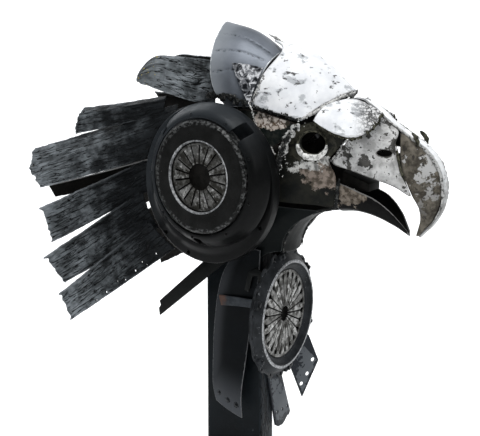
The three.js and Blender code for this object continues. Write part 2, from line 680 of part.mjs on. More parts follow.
const MOUTH = { rear: 258, front: 318, width: 56 };
piece('mouth_block', extruded((() => {
  const side = new THREE.Shape();
  side.moveTo(MOUTH.rear, 93);
  side.lineTo(MOUTH.front, 85);
  side.lineTo(MOUTH.front, 103);
  side.lineTo(MOUTH.rear, 126);
  return side;
})(), MOUTH.width).rotateX(Math.PI / 2).translate(0, MOUTH.width / 2, 0), DARK);

export default eagle;
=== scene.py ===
"""Looks of the scrap metal eagle: cut and bent sheet steel, three clutch covers and cracked plate.

Lengths are metres. Points of the head and neck are given in millimetres from a datum a little
above the top of the post, with the beak along +X and the eagle's right side at negative Y.
"""
import math

import bmesh
import bpy
import numpy as np
from mathutils import Matrix, Vector


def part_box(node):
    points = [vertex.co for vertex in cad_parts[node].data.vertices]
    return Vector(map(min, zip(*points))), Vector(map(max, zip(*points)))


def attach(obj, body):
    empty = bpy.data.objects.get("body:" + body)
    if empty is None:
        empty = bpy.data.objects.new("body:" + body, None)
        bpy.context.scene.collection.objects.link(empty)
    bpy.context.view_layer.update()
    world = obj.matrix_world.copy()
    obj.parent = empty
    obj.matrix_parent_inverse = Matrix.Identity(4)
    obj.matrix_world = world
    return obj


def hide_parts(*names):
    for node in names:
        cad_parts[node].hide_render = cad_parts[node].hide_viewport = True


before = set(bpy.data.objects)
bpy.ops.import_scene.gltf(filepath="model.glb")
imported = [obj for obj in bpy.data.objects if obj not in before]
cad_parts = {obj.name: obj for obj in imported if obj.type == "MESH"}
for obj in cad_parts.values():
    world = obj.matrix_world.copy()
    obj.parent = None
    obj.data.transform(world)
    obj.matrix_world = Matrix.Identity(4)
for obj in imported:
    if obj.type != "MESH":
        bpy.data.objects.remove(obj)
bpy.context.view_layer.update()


# ---- Base plate and post -------------------------------------------------------------------
# A rectangular steel tube stands on a thick steel plate with four bolt holes. Both are painted
# black by brush. The post is welded round its foot, and the paint on its front face has crazed.

MM = 0.001
POST_LOW, POST_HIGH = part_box("post")
BASE_LOW, BASE_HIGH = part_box("base_plate")
LEVEL = POST_HIGH.z + 30 * MM        # height of the head's datum
POST_CORNER = 8 * MM
POST_WALL = 5 * MM
BOLT_HOLE = 7 * MM
BOLT_INSET = 30 * MM


def node(tree, kind, values=None, **settings):
    """A shader node; each value is a constant or another node's output."""
    made = tree.nodes.new("ShaderNode" + kind)
    for label, value in settings.items():
        setattr(made, label, value)
    for socket, value in (values or {}).items():
        if isinstance(value, bpy.types.NodeSocket):
            tree.links.new(value, made.inputs[socket])
        else:
            made.inputs[socket].default_value = value
    return made


def effect(name, inputs, outputs):
    """An empty node group. An input is a vector where its default is None, else a number."""
    group = bpy.data.node_groups.new(name, "ShaderNodeTree")
    for label, value in inputs.items():
        kind = "NodeSocketVector" if value is None else "NodeSocketFloat"
        socket = group.interface.new_socket(label, in_out="INPUT", socket_type=kind)
        if value is not None:
            socket.default_value = value
    for label in outputs:
        group.interface.new_socket(label, in_out="OUTPUT", socket_type="NodeSocketFloat")
    return group, group.nodes.new("NodeGroupInput").outputs, group.nodes.new("NodeGroupOutput").inputs


def use(tree, group, **values):
    """Places a node group in a material and gives back its outputs."""
    made = tree.nodes.new("ShaderNodeGroup")
    made.node_tree = group
    for label, value in values.items():
        if isinstance(value, bpy.types.NodeSocket):
            tree.links.new(value, made.inputs[label])
        else:
            made.inputs[label].default_value = value
    return made.outputs


def sum_of(tree, a, b, operation="ADD", clamp=False):
    return node(tree, "Math", {0: a, 1: b}, operation=operation, use_clamp=clamp).outputs[0]


def scaled(tree, a, b, clamp=False):
    """The product of two values."""
    return sum_of(tree, a, b, "MULTIPLY", clamp)


def ranged(tree, value, low, high, out_low=0.0, out_high=1.0):
    """value's stretch from low to high, eased onto out_low to out_high."""
    return node(tree, "MapRange", {0: value, 1: low, 2: high, 3: out_low, 4: out_high},
                interpolation_type="SMOOTHSTEP").outputs[0]


def speckle(tree, vector, size, detail=4.0, rough=0.6):
    """Cloudy noise with lumps of the given size."""
    return node(tree, "TexNoise", {"Vector": vector, "Scale": 1 / size, "Detail": detail,
                                   "Roughness": rough}).outputs[0]


def over(tree, below, above, mask):
    """One colour laid over another where the mask is 1."""
    made = node(tree, "Mix", {0: mask}, data_type="RGBA")
    for index, colour in ((6, below), (7, above)):
        if isinstance(colour, bpy.types.NodeSocket):
            tree.links.new(colour, made.inputs[index])
        else:
            made.inputs[index].default_value = (*colour, 1)
    return made.outputs[2]


def make_blotches():
    """Patches with soft or crisp edges: 1 inside a patch."""
    group, given, put = effect("blotches", {"Vector": None, "Size": 0.02, "Level": 0.5, "Soft": 0.1},
                               ["Mask"])
    tree = group
    scale = sum_of(tree, 1.0, given["Size"], "DIVIDE")
    cloud = node(tree, "TexNoise", {"Vector": given["Vector"], "Scale": scale, "Detail": 7.0,
                                    "Roughness": 0.62}).outputs[0]
    low = sum_of(tree, given["Level"], given["Soft"], "SUBTRACT")
    high = sum_of(tree, given["Level"], given["Soft"])
    tree.links.new(ranged(tree, cloud, low, high), put["Mask"])
    return group


def make_crackle():
    """Crazed paint: 1 along thin wandering cracks round flakes of the given size."""
    group, given, put = effect("crackle", {"Vector": None, "Size": 0.01, "Width": 0.1, "Warp": 0.6},
                               ["Mask"])
    tree = group
    scale = sum_of(tree, 1.0, given["Size"], "DIVIDE")
    drift = node(tree, "TexNoise", {"Vector": given["Vector"], "Scale": scale, "Detail": 3.0}).outputs[1]
    centred = node(tree, "VectorMath", {0: drift, 1: (0.5, 0.5, 0.5)}, operation="SUBTRACT").outputs[0]
    reach = scaled(tree, given["Warp"], given["Size"])
    push = node(tree, "VectorMath", {0: centred, "Scale": reach}, operation="SCALE").outputs[0]
    place = node(tree, "VectorMath", {0: given["Vector"], 1: push}, operation="ADD").outputs[0]
    cells = node(tree, "TexVoronoi", {"Vector": place, "Scale": scale},
                 feature="DISTANCE_TO_EDGE").outputs["Distance"]
    tree.links.new(ranged(tree, cells, 0.0, given["Width"], 1.0, 0.0), put["Mask"])
    return group


def make_scratches():
    """Fine straight scuffs: 1 along short thin streaks that run along the first axis."""
    group, given, put = effect("scratches", {"Vector": None, "Size": 0.03, "Amount": 0.5}, ["Mask"])
    tree = group
    scale = sum_of(tree, 1.0, given["Size"], "DIVIDE")
    drawn = node(tree, "VectorMath", {0: given["Vector"], 1: (0.18, 2.6, 2.6)},
                 operation="MULTIPLY").outputs[0]
    streaks = node(tree, "TexNoise", {"Vector": drawn, "Scale": scale, "Detail": 5.0,
                                      "Roughness": 0.7}).outputs[0]
    edge = sum_of(tree, 0.76, scaled(tree, given["Amount"], 0.22), "SUBTRACT")
    tree.links.new(ranged(tree, streaks, edge, sum_of(tree, edge, 0.07)), put["Mask"])
    return group


BLOTCHES = make_blotches()
CRACKLE = make_crackle()
SCRATCHES = make_scratches()


def blotches(tree, vector, size, level, soft):
    """1 inside cloudy patches of the given size, 0 outside them."""
    return use(tree, BLOTCHES, Vector=vector, Size=size, Level=level, Soft=soft)["Mask"]


def finish(name, roughness=0.5, metallic=0.0, sheen=0.07):
    """A new material with its node tree, shader and the place on the object that it is read at."""
    material = bpy.data.materials.new(name)
    material.use_nodes = True
    tree = material.node_tree
    shader = tree.nodes["Principled BSDF"]
    shader.inputs["Roughness"].default_value = roughness
    shader.inputs["Metallic"].default_value = metallic
    shader.inputs["Specular IOR Level"].default_value = sheen
    place = node(tree, "TexCoord").outputs["Object"]
    return material, tree, shader.inputs, place


def raised(tree, shader, height, distance):
    """Fine relief from a height, in metres."""
    bump = node(tree, "Bump", {"Height": height, "Distance": distance, "Strength": 1.0})
    tree.links.new(bump.outputs[0], shader["Normal"])


def black_paint():
    """Brushed black enamel, dusty and scuffed, crazed on the post's front face."""
    material, tree, shader, place = finish("black_paint", 0.42)
    cloud = blotches(tree, place, 0.09, 0.5, 0.22)
    colour = over(tree, (0.002, 0.0032, 0.0042), (0.0062, 0.0088, 0.011), cloud)
    facing = node(tree, "SeparateXYZ", {0: place}).outputs[0]
    front = ranged(tree, facing, POST_HIGH.x - 6 * MM, POST_HIGH.x - 2 * MM)
    tall = node(tree, "VectorMath", {0: place, 1: (1, 1, 0.3)}, operation="MULTIPLY").outputs[0]
    crazing = use(tree, CRACKLE, Vector=tall, Size=0.011, Width=0.16, Warp=1.4)["Mask"]
    cracks = scaled(tree, crazing, front)
    colour = over(tree, colour, (0.018, 0.023, 0.028), scaled(tree, front, 0.5))
    colour = over(tree, colour, (0.002, 0.0025, 0.003), cracks)
    chips = blotches(tree, place, 0.012, 0.72, 0.01)
    colour = over(tree, colour, (0.09, 0.1, 0.11), chips)
    tree.links.new(colour, shader["Base Color"])
    tree.links.new(ranged(tree, cloud, 0.0, 1.0, 0.34, 0.52), shader["Roughness"])
    height = sum_of(tree, speckle(tree, place, 0.006), scaled(tree, cracks, -1.6))
    raised(tree, shader, height, 0.5 * MM)
    return material


BLACK = black_paint()


def kept(name, bm, *materials, smooth=True):
    """The bmesh as an object of the scene, in place, with its materials."""
    mesh = bpy.data.meshes.new(name)
    bm.to_mesh(mesh)
    bm.free()
    for polygon in mesh.polygons:
        polygon.use_smooth = smooth
    for material in materials:
        mesh.materials.append(material)
    made = bpy.data.objects.new(name, mesh)
    bpy.context.scene.collection.objects.link(made)
    return made


def settled(made):
    """Turns an object's modifiers into its mesh."""
    seen = made.evaluated_get(bpy.context.evaluated_depsgraph_get())
    mesh = bpy.data.meshes.new_from_object(seen)
    made.modifiers.clear()
    made.data = mesh
    return made


def walled(made, wall, rim_material=0, inner_material=0):
    """Gives a surface its wall, on the side away from its normals."""
    solid = made.modifiers.new("wall", "SOLIDIFY")
    solid.thickness = wall
    solid.offset = -1
    solid.material_offset = inner_material
    solid.material_offset_rim = rim_material
    return made


def softened(made, width, segments=2, angle=40):
    """Rounds the sharp edges that a torch, a press or a grinder leaves."""
    bevel = made.modifiers.new("edges", "BEVEL")
    bevel.width = width
    bevel.segments = segments
    bevel.limit_method = "ANGLE"
    bevel.angle_limit = math.radians(angle)
    bevel.harden_normals = False
    return made


def drilled(made, cutter):
    """Cuts a bmesh of closed shapes out of an object."""
    tool = kept("cutter", cutter, BLACK)
    boolean = made.modifiers.new("holes", "BOOLEAN")
    boolean.operation = "DIFFERENCE"
    boolean.solver = "EXACT"
    boolean.object = tool
    settled(made)
    bpy.data.objects.remove(tool)
    return made


def drill(bm, centre, direction, radius, depth, segments=20):
    """Adds a round bit to a cutter's bmesh."""
    turn = Vector(direction).to_track_quat("Z", "Y").to_matrix().to_4x4()
    bmesh.ops.create_cone(bm, cap_ends=True, segments=segments, radius1=radius, radius2=radius,
                          depth=depth, matrix=Matrix.Translation(centre) @ turn)


def stands_for(made, slot, *names):
    """Fixes a piece to the sculpture, in the place of the frame's nodes."""
    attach(made, "root")
    if names:
        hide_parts(*names)
    return made


def sharp(made, angle=35):
    """Shades flat and curved faces apart."""
    made.data.set_sharp_from_angle(angle=math.radians(angle))
    return made


bm = bmesh.new()
bmesh.ops.create_cube(bm, size=1)
bmesh.ops.scale(bm, vec=BASE_HIGH - BASE_LOW, verts=bm.verts)
bmesh.ops.translate(bm, vec=(BASE_HIGH + BASE_LOW) / 2, verts=bm.verts)
base = softened(kept("base_plate_visual", bm, BLACK), 1.2 * MM)
bits = bmesh.new()
for sx in (-1, 1):
    for sy in (-1, 1):
        corner = (sx * (BASE_HIGH.x - BOLT_INSET), sy * (BASE_HIGH.y - BOLT_INSET), BASE_HIGH.z)
        drill(bits, corner, (0, 0, 1), BOLT_HOLE, 0.1, 28)
sharp(drilled(base, bits))
stands_for(base, "post_steel", "base_plate")

bm = bmesh.new()
bmesh.ops.create_cube(bm, size=1)
bmesh.ops.scale(bm, vec=POST_HIGH - POST_LOW, verts=bm.verts)
bmesh.ops.translate(bm, vec=(POST_HIGH + POST_LOW) / 2, verts=bm.verts)
upright = [e for e in bm.edges if abs(e.verts[0].co.z - e.verts[1].co.z) > 0.1]
bmesh.ops.bevel(bm, geom=upright, offset=POST_CORNER, segments=6, profile=0.5, affect="EDGES",
                material=-1)
bmesh.ops.delete(bm, geom=[f for f in bm.faces if abs(f.normal.z) > 0.9], context="FACES")
post = walled(kept("post_visual", bm, BLACK), POST_WALL)
stands_for(sharp(settled(softened(post, 0.8 * MM))), "post_steel", "post")


# ---- Weld metal ------------------------------------------------------------------------------
# Arc welds join every plate. Their beads are lumpy grey steel with spatter round them, laid by
# hand, heaped where a gap was wide. Brushed beads are bright and old ones are dark.

def noise(points, size, seed=0):
    """Smooth noise from -1 to 1, one value for each point; size is the width of a lump."""
    p = np.asarray(points, float) / size + 13.71 * seed + 211.3
    cell = np.floor(p).astype(np.int64)
    f = p - cell
    f = f * f * (3 - 2 * f)
    total = np.zeros(p.shape[:-1])
    for corner in range(8):
        step = np.array([corner & 1, corner >> 1 & 1, corner >> 2 & 1])
        c = cell + step
        mixed = c[..., 0] * 73856093 ^ c[..., 1] * 19349663 ^ c[..., 2] * 83492791
        mixed = (mixed ^ (mixed >> 13)) * 1274126177
        value = ((mixed ^ (mixed >> 16)) & 0xFFFF) / 32767.5 - 1
        weight = np.prod(np.where(step == 1, f, 1 - f), axis=-1)
        total += value * weight
    return total


def spline(points, count, closed=False):
    """Evenly spaced points on a smooth curve through the given ones."""
    p = np.asarray(points, float)
    if closed:
        ends = np.vstack([p[-1:], p, p[:2]])
    else:
        ends = np.vstack([2 * p[0] - p[1], p, 2 * p[-1] - p[-2]])
    gaps = np.maximum(np.sqrt(np.linalg.norm(np.diff(ends, axis=0), axis=1)), 1e-6)
    s = np.linspace(0, 1, 24, endpoint=False)[:, None]
    pieces = []
    for k in range(len(ends) - 3):
        a, b, c, d = ends[k:k + 4]
        ga, gb, gc = gaps[k:k + 3]
        leave = ((b - a) / ga - (c - a) / (ga + gb) + (c - b) / gb) * gb
        arrive = ((c - b) / gb - (d - b) / (gb + gc) + (d - c) / gc) * gb
        pieces.append(b * (2 * s**3 - 3 * s**2 + 1) + leave * (s**3 - 2 * s**2 + s)
                      + c * (3 * s**2 - 2 * s**3) + arrive * (s**3 - s**2))
    pieces.append(ends[-2:-1])
    fine = np.vstack(pieces)
    run = np.concatenate([[0], np.cumsum(np.linalg.norm(np.diff(fine, axis=0), axis=1))])
    wanted = np.linspace(0, run[-1], count + 1)
    return np.stack([np.interp(wanted, run, fine[:, axis]) for axis in range(3)], axis=1)


def from_datum(point):
    """A point of the head, in metres from the underside of the base."""
    return Vector((point[0] * MM, point[1] * MM, point[2] * MM + LEVEL))


def other_side(points):
    """The same points on the eagle's other side."""
    return (np.asarray(points, float) * (1, -1, 1)).tolist()


def weld_metal(name, dark, light, level):
    """Lumpy steel: light on its crests, soot in its hollows."""
    material, tree, shader, place = finish(name, 0.55, 0.35)
    cloud = blotches(tree, place, 0.007, level, 0.09)
    colour = over(tree, dark, light, cloud)
    tree.links.new(colour, shader["Base Color"])
    raised(tree, shader, speckle(tree, place, 0.0025), 0.7 * MM)
    return material


WELD = weld_metal("weld_metal", (0.04, 0.04, 0.038), (0.42, 0.42, 0.41), 0.46)
DARK_WELD = weld_metal("sooted_weld", (0.012, 0.013, 0.013), (0.1, 0.1, 0.095), 0.58)
OLIVE_WELD = weld_metal("olive_weld", (0.012, 0.0125, 0.009), (0.07, 0.068, 0.05), 0.5)
BRIGHT_WELD = weld_metal("brushed_weld_and_highlight", (0.2, 0.2, 0.19), (0.66, 0.66, 0.64), 0.46)


def drops(name, path, width, count, radius, material, seed=0, flat=0.6):
    """Drops of weld metal scattered along a path, thickest in its middle."""
    line = spline(path, count)
    bm = bmesh.new()
    for point in line:
        shift = np.array([noise(point + 31 * axis, 2.3, seed + axis) for axis in range(3)])
        size = radius * (0.62 + 0.55 * abs(float(noise(point, 3.1, seed + 7))))
        spot = point + shift * (width, width * 0.18, width)
        shape = Matrix.Translation(from_datum(spot)) @ Matrix.Diagonal((1, flat, 1.15, 1))
        bmesh.ops.create_icosphere(bm, subdivisions=2, radius=size * MM, matrix=shape)
    lumps = np.array([v.co for v in bm.verts]) / MM
    bm.normal_update()
    for v, push in zip(bm.verts, noise(lumps, 2.4, seed + 3)):
        v.co += v.normal * float(push) * 0.22 * radius * MM
    return kept(name, bm, material)


def bead(name, path, radius, material, seed=0, ripple=3.2, taper=True, around=10):
    """A weld bead along a path: a lumpy ridge with the ripple of each pass."""
    length = float(np.sum(np.linalg.norm(np.diff(np.asarray(path, float), axis=0), axis=1)))
    steps = max(8, int(length / 1.6))
    line = spline(path, steps)
    bm = bmesh.new()
    bmesh.ops.create_grid(bm, x_segments=around, y_segments=steps, size=0.5)
    for v in bm.verts:
        turn = (v.co.x + 0.5) * 2 * math.pi
        i = round((v.co.y + 0.5) * steps)
        ahead = Vector(line[min(i + 1, steps)] - line[max(i - 1, 0)]).normalized()
        side = ahead.cross(Vector((0.13, 1, 0.21))).normalized()
        out = ahead.cross(side)
        swell = 1 + 0.22 * math.sin(i * 1.6 / ripple * 2 * math.pi)
        swell *= 1 + 0.35 * float(noise(line[i], 6, seed)) + 0.15 * math.cos(turn * 2 + i)
        if taper:
            swell *= min(1, 0.25 + 3.0 * min(i, steps - i) / steps)
        reach = radius * swell
        spot = Vector(line[i]) + side * math.cos(turn) * reach + out * math.sin(turn) * reach * 0.8
        v.co = from_datum(spot)
    bmesh.ops.remove_doubles(bm, verts=bm.verts, dist=1e-6)
    bmesh.ops.holes_fill(bm, edges=bm.edges, sides=around + 2)
    bmesh.ops.recalc_face_normals(bm, faces=bm.faces)
    return kept(name, bm, material)


# ---- Neck plates, strut and brackets ---------------------------------------------------------
# The neck is a box of three bent 4 mm sheets, welded up and brushed with dark slate paint. A
# flat bar braces it from the rear, and two short bars and a flat tab hold the breast's clutch.

NECK_MIDDLE = (60, 0, 0)
SHEET = 4 * MM


def loft(rows, across, along):
    """A grid of points on the smooth surface through rows of points."""
    lines = [spline(row, across) for row in rows]
    columns = [spline([line[j] for line in lines], along) for j in range(across + 1)]
    return np.stack(columns, axis=1)


def sampled(grid, down, over_it):
    """The grid's surface read again at other places, given as shares of its two directions."""
    rows, columns = grid.shape[:2]
    y = np.clip(down, 0, 1) * (rows - 1)
    x = np.clip(over_it, 0, 1) * (columns - 1)
    i = np.minimum(y.astype(int), rows - 2)
    j = np.minimum(x.astype(int), columns - 2)
    fy = (y - i)[..., None]
    fx = (x - j)[..., None]
    upper = grid[i, j] * (1 - fx) + grid[i, j + 1] * fx
    lower = grid[i + 1, j] * (1 - fx) + grid[i + 1, j + 1] * fx
    return upper * (1 - fy) + lower * fy


def spans(grid):
    """Mean length of a grid down its columns and along its rows."""
    down = np.linalg.norm(np.diff(grid, axis=0), axis=2).sum(axis=0).mean()
    over_it = np.linalg.norm(np.diff(grid, axis=1), axis=2).sum(axis=1).mean()
    return down, over_it


def ragged(grid, ends=(0, 0), sides=(0, 0), lump=8, seed=0):
    """Pulls a surface's four edges in unevenly, by up to the given millimetres."""
    rows, columns = grid.shape[:2]
    down, over_it = spans(grid)
    t = np.linspace(0, 1, rows)[:, None]
    q = np.linspace(0, 1, columns)[None, :]

    def bite(line, depth, salt):
        coarse = 0.5 + 0.5 * noise(line, lump, seed + salt)
        fine = 0.5 + 0.5 * noise(line, lump / 2.7, seed + salt + 5)
        return depth * (0.65 * coarse + 0.35 * fine)

    top = bite(grid[0], ends[0], 1)[None, :] / down
    bottom = bite(grid[-1], ends[1], 2)[None, :] / down
    left = bite(grid[:, 0], sides[0], 3)[:, None] / over_it
    right = bite(grid[:, -1], sides[1], 4)[:, None] / over_it
    return sampled(grid, top + t * (1 - top - bottom), left + q * (1 - left - right))


def outward(grid, inside):
    """Unit normals of a grid, away from a point inside the object."""
    n = np.cross(np.gradient(grid, axis=0), np.gradient(grid, axis=1))
    n /= np.maximum(np.linalg.norm(n, axis=2, keepdims=True), 1e-9)
    middle = (grid.shape[0] // 2, grid.shape[1] // 2)
    away = float(n[middle] @ (grid[middle] - np.array(inside, float)))
    return n if away > 0 else -n


def sheet(name, grid, inside, materials, wall=SHEET, relief=None, mark=None, ring=False,
          bevel=0.7 * MM, rim=0):
    """A bent plate on a grid of points, with its relief and its wall. The vertices carry how far
    along, across and from the edge they lie, in metres, and a mark for the paint to follow."""
    rows, columns = grid.shape[:2]
    n = outward(grid, inside)
    down, over_it = spans(grid)
    i, j = np.mgrid[0:rows, 0:columns]
    edge = np.minimum(i, rows - 1 - i) * down / (rows - 1)
    if not ring:
        edge = np.minimum(edge, np.minimum(j, columns - 1 - j) * over_it / (columns - 1))
    if relief is not None:
        grid = grid + n * relief[..., None]
    bm = bmesh.new()
    bmesh.ops.create_grid(bm, x_segments=columns - 1, y_segments=rows - 1, size=0.5)
    lie = bm.verts.layers.float_vector.new("lie")
    worn = bm.verts.layers.float.new("mark")
    for v in bm.verts:
        a = round((v.co.y + 0.5) * (rows - 1))
        b = round((v.co.x + 0.5) * (columns - 1))
        v[lie] = (a * down / (rows - 1) * MM, b * over_it / (columns - 1) * MM, edge[a, b] * MM)
        v[worn] = float(mark[a, b]) if mark is not None else 0.0
        v.co = from_datum(grid[a, b])
    if ring:
        bmesh.ops.remove_doubles(bm, verts=bm.verts, dist=1e-6)
    bm.normal_update()
    middle = Vector(n[rows // 2, columns // 2])
    bm.faces.ensure_lookup_table()
    nearest = min(bm.faces, key=lambda f: (
        f.calc_center_median() - from_datum(grid[rows // 2, columns // 2])).length_squared)
    if nearest.normal.dot(middle) < 0:
        bmesh.ops.reverse_faces(bm, faces=bm.faces)
    made = kept(name, bm, *materials)
    walled(made, wall, rim, len(materials) - 1)
    if bevel:
        softened(made, bevel, 2, 60)
    return made


def inner_steel():
    """The back of every plate, where the light doesn't reach: brown-black primer with dust, kept near black
    as painted shade.
    """
    material, tree, shader, place = finish("inner_steel", 0.6)
    cloud = blotches(tree, place, 0.03, 0.5, 0.15)
    # Near black, partly painted shade where no light reaches the plates' backs.
    tree.links.new(over(tree, (0.0035, 0.0035, 0.003), (0.011, 0.01, 0.009), cloud),
                   shader["Base Color"])
    raised(tree, shader, speckle(tree, place, 0.005), 0.4 * MM)
    return material


def make_wear():
    """Paint worn off along a plate's edge: 1 where the metal shows."""
    group, given, put = effect("edge wear", {"Edge": 0.0, "Vector": None, "Width": 0.002,
                                             "Size": 0.006}, ["Mask"])
    scale = sum_of(group, 1.0, given["Size"], "DIVIDE")
    cloud = node(group, "TexNoise", {"Vector": given["Vector"], "Scale": scale, "Detail": 4.0}).outputs[0]
    wander = scaled(group, sum_of(group, cloud, 0.5, "SUBTRACT"), 3.2)
    reach = scaled(group, given["Width"], sum_of(group, wander, 1.0))
    near = sum_of(group, reach, given["Edge"], "SUBTRACT")
    half = scaled(group, given["Width"], 0.35)
    group.links.new(ranged(group, near, 0.0, half), put["Mask"])
    return group


WEAR = make_wear()


def worn_edge(tree, edge, vector, width, size):
    """1 along a plate's edge, ragged and fading inwards over the given width."""
    return use(tree, WEAR, Edge=edge, Vector=vector, Width=width, Size=size)["Mask"]


def edge_of(tree):
    """How far from its plate's edge a point lies."""
    lie = node(tree, "Attribute", attribute_name="lie").outputs["Vector"]
    return lie, node(tree, "SeparateXYZ", {0: lie}).outputs[2]


def slate_paint(name, dark, light, worn, chips=0.7):
    """Brushed slate paint over steel, paler where it's rubbed along the edges."""
    material, tree, shader, place = finish(name, 0.46, 0.15)
    cloud = blotches(tree, place, 0.07, 0.5, 0.2)
    colour = over(tree, dark, light, cloud)
    scuffs = use(tree, SCRATCHES, Vector=place, Size=0.02, Amount=0.3)["Mask"]
    colour = over(tree, colour, worn, scaled(tree, scuffs, 0.3))
    edge = edge_of(tree)[1]
    rubbed = worn_edge(tree, edge, place, 1.4 * MM, 0.008)
    colour = over(tree, colour, worn, scaled(tree, rubbed, 0.8))
    flecks = blotches(tree, place, 0.007, chips, 0.015)
    colour = over(tree, colour, worn, flecks)
    tree.links.new(colour, shader["Base Color"])
    tree.links.new(ranged(tree, cloud, 0.0, 1.0, 0.36, 0.56), shader["Roughness"])
    raised(tree, shader, sum_of(tree, speckle(tree, place, 0.009),
                                scaled(tree, flecks, -0.5)), 0.45 * MM)
    return material


INNER = inner_steel()
NECK_PAINT = slate_paint("neck_paint", (0.0012, 0.0022, 0.0024), (0.003, 0.0045, 0.0046),
                         (0.03, 0.034, 0.034), 0.74)
SLATE = slate_paint("slate_paint", (0.015, 0.017, 0.021), (0.027, 0.03, 0.036), (0.11, 0.12, 0.13))
THROAT_PAINT = slate_paint("throat_paint", (0.0035, 0.0042, 0.0042), (0.008, 0.0088, 0.0085),
                           (0.05, 0.052, 0.05), 0.76)

neck_rows = [
    [[34, -70, 50], [90, -68, 48], [150, -58, 43], [214, -46.5, 40]],
    [[34, -67, 10], [80, -64, 8], [120, -58, 6], [152, -46.5, 1]],
    [[28, -61, -42], [60, -61, -38], [100, -55, -30], [133, -46.5, -30]],
    [[24, -58, -100], [60, -56, -88], [95, -53, -62], [129, -46.5, -53]],
]
for side, rows in (("right", neck_rows), ("left", [other_side(row) for row in neck_rows])):
    grid = loft(rows, 40, 44)
    dents = 0.9 * noise(grid, 34, 2) + 0.25 * noise(grid, 9, 3)
    made = sheet(f"neck_side_{side}_visual", ragged(grid, (0, 1), (0, 1), 10), NECK_MIDDLE,
                 [NECK_PAINT, INNER], relief=dents)
    stands_for(made, "neck_paint", f"neck_side_{side}")

throat_line = [[239, 37, 43], [214, 42, 39], [178, 42, 25], [150, 42, -1], [134, 42, -32],
               [130, 42, -56]]
grid = loft([[[x, -half, z], [x + 5, -half / 2, z - 2], [x + 7, 0, z - 3], [x + 5, half / 2, z - 2],
              [x, half, z]] for x, half, z in throat_line], 40, 56)
throat = sheet("throat_plate_visual", ragged(grid, (1, 3), (1.5, 1.5), 9, 4), NECK_MIDDLE,
               [THROAT_PAINT, INNER], relief=0.5 * noise(grid, 26, 4))
stands_for(throat, "neck_paint", "throat_plate")
for side in (-1, 1):
    seam = [[x + 1, side * (half + 1.5), z] for x, half, z in throat_line]
    stands_for(bead(f"throat_weld_{'right' if side < 0 else 'left'}", seam, 3.2, DARK_WELD, 5),
               "neck_paint")


def cut_plate(name, outline, thickness, place, materials, holes=(), bevel=0.7 * MM):
    """A flat plate cut to an outline in its own plane; place puts that plane on the object."""
    bm = bmesh.new()
    corners = [bm.verts.new((u * MM, w * MM, 0)) for u, w in outline]
    face = bm.faces.new(corners)
    bm.normal_update()
    if face.normal.z < 0:
        face.normal_flip()
    lie = bm.verts.layers.float_vector.new("lie")
    bmesh.ops.inset_region(bm, faces=[face], thickness=2.4 * MM, use_even_offset=True)
    for v in face.verts:
        v[lie] = (0.1, 0.1, 2.4 * MM)
    grown = bmesh.ops.extrude_face_region(bm, geom=list(bm.faces))
    risen = [v for v in grown["geom"] if isinstance(v, bmesh.types.BMVert)]
    bmesh.ops.translate(bm, vec=(0, 0, thickness), verts=risen)
    bmesh.ops.recalc_face_normals(bm, faces=bm.faces)
    made = kept(name, bm, *materials)
    if bevel:
        softened(made, bevel, 2, 30)
    if holes:
        bits = bmesh.new()
        for u, w, radius in holes:
            drill(bits, (u * MM, w * MM, 0), (0, 0, 1), radius * MM, 0.06)
        drilled(made, bits)
    else:
        settled(made)
    made.data.transform(place)
    if place.is_negative:
        made.data.flip_normals()
    return sharp(made)


# A plane standing along X, its face towards the eagle's right side, at the given Y.
def upright_plane(y):
    return Matrix.Translation((0, y * MM, LEVEL)) @ Matrix.Rotation(math.pi / 2, 4, "X")


strut_outline = [(-4, -54), (22, -76), (-154, -220), (-156, -203), (-151, -195), (-154, -186)]
strut = cut_plate("strut_visual", strut_outline, 6 * MM, upright_plane(-86), [THROAT_PAINT])
stands_for(strut, "strut_steel", "strut_right")


def rusted_bar():
    """Slate bar whose welded end has burnt to brown rust."""
    material, tree, shader, place = finish("rusted_bar", 0.55, 0.1)
    cloud = blotches(tree, place, 0.02, 0.5, 0.2)
    colour = over(tree, (0.02, 0.024, 0.028), (0.045, 0.05, 0.056), cloud)
    along = node(tree, "SeparateXYZ", {0: place}).outputs[0]
    burnt = ranged(tree, sum_of(tree, along, scaled(tree, cloud, 0.012)), 0.018, 0.004)
    colour = over(tree, colour, (0.075, 0.045, 0.036), burnt)
    tree.links.new(colour, shader["Base Color"])
    raised(tree, shader, speckle(tree, place, 0.004), 0.5 * MM)
    return material


RUSTED_BAR = rusted_bar()
bracket_rows = [[[-11, -76, -158], [-5, -76, -181]], [[45, -77, -158], [45, -77, -178]],
                [[102, -77, -160], [102, -77, -178]]]
for side, rows in (("right", bracket_rows), ("left", [other_side(r) for r in bracket_rows])):
    bar = sheet(f"chest_bracket_{side}_visual", ragged(loft(rows, 8, 44), (2, 0), (0.6, 0.6), 6),
                (40, 0, -170), [RUSTED_BAR, RUSTED_BAR])
    stands_for(bar, "strut_steel", f"chest_bracket_{side}")
tab_outline = [(55, -140), (65, -99), (84, -90), (100, -97), (101, -121), (91, -121), (87, -105),
               (75, -108), (66, -143)]
tab = cut_plate("chest_tab_visual", tab_outline, 4 * MM, upright_plane(-73), [THROAT_PAINT])
stands_for(tab, "strut_steel", "chest_tab_right")


# ---- Breast blades ---------------------------------------------------------------------------
# Four long feathers of the breast are cut from flat sheet with rounded or slanted ends, and each
# has three bolt holes near its end. The two side ones are bent to the neck's curve.

blade_rows = [
    [[35, -66, -48], [60, -69, -50], [88, -67, -52]],
    [[-3, -66, -106], [35, -71, -108], [85, -68, -110]],
    [[-18, -65, -152], [20, -70, -155], [75, -66, -158]],
    [[-29, -63, -221], [8, -68, -224], [62, -64, -228]],
    [[-34, -61, -291], [0, -66, -296], [50, -62, -302]],
    [[-35, -60, -372], [0, -65, -378], [38, -61, -386]],
    [[-27, -60, -405], [4, -64, -420], [40, -61, -436]],
]


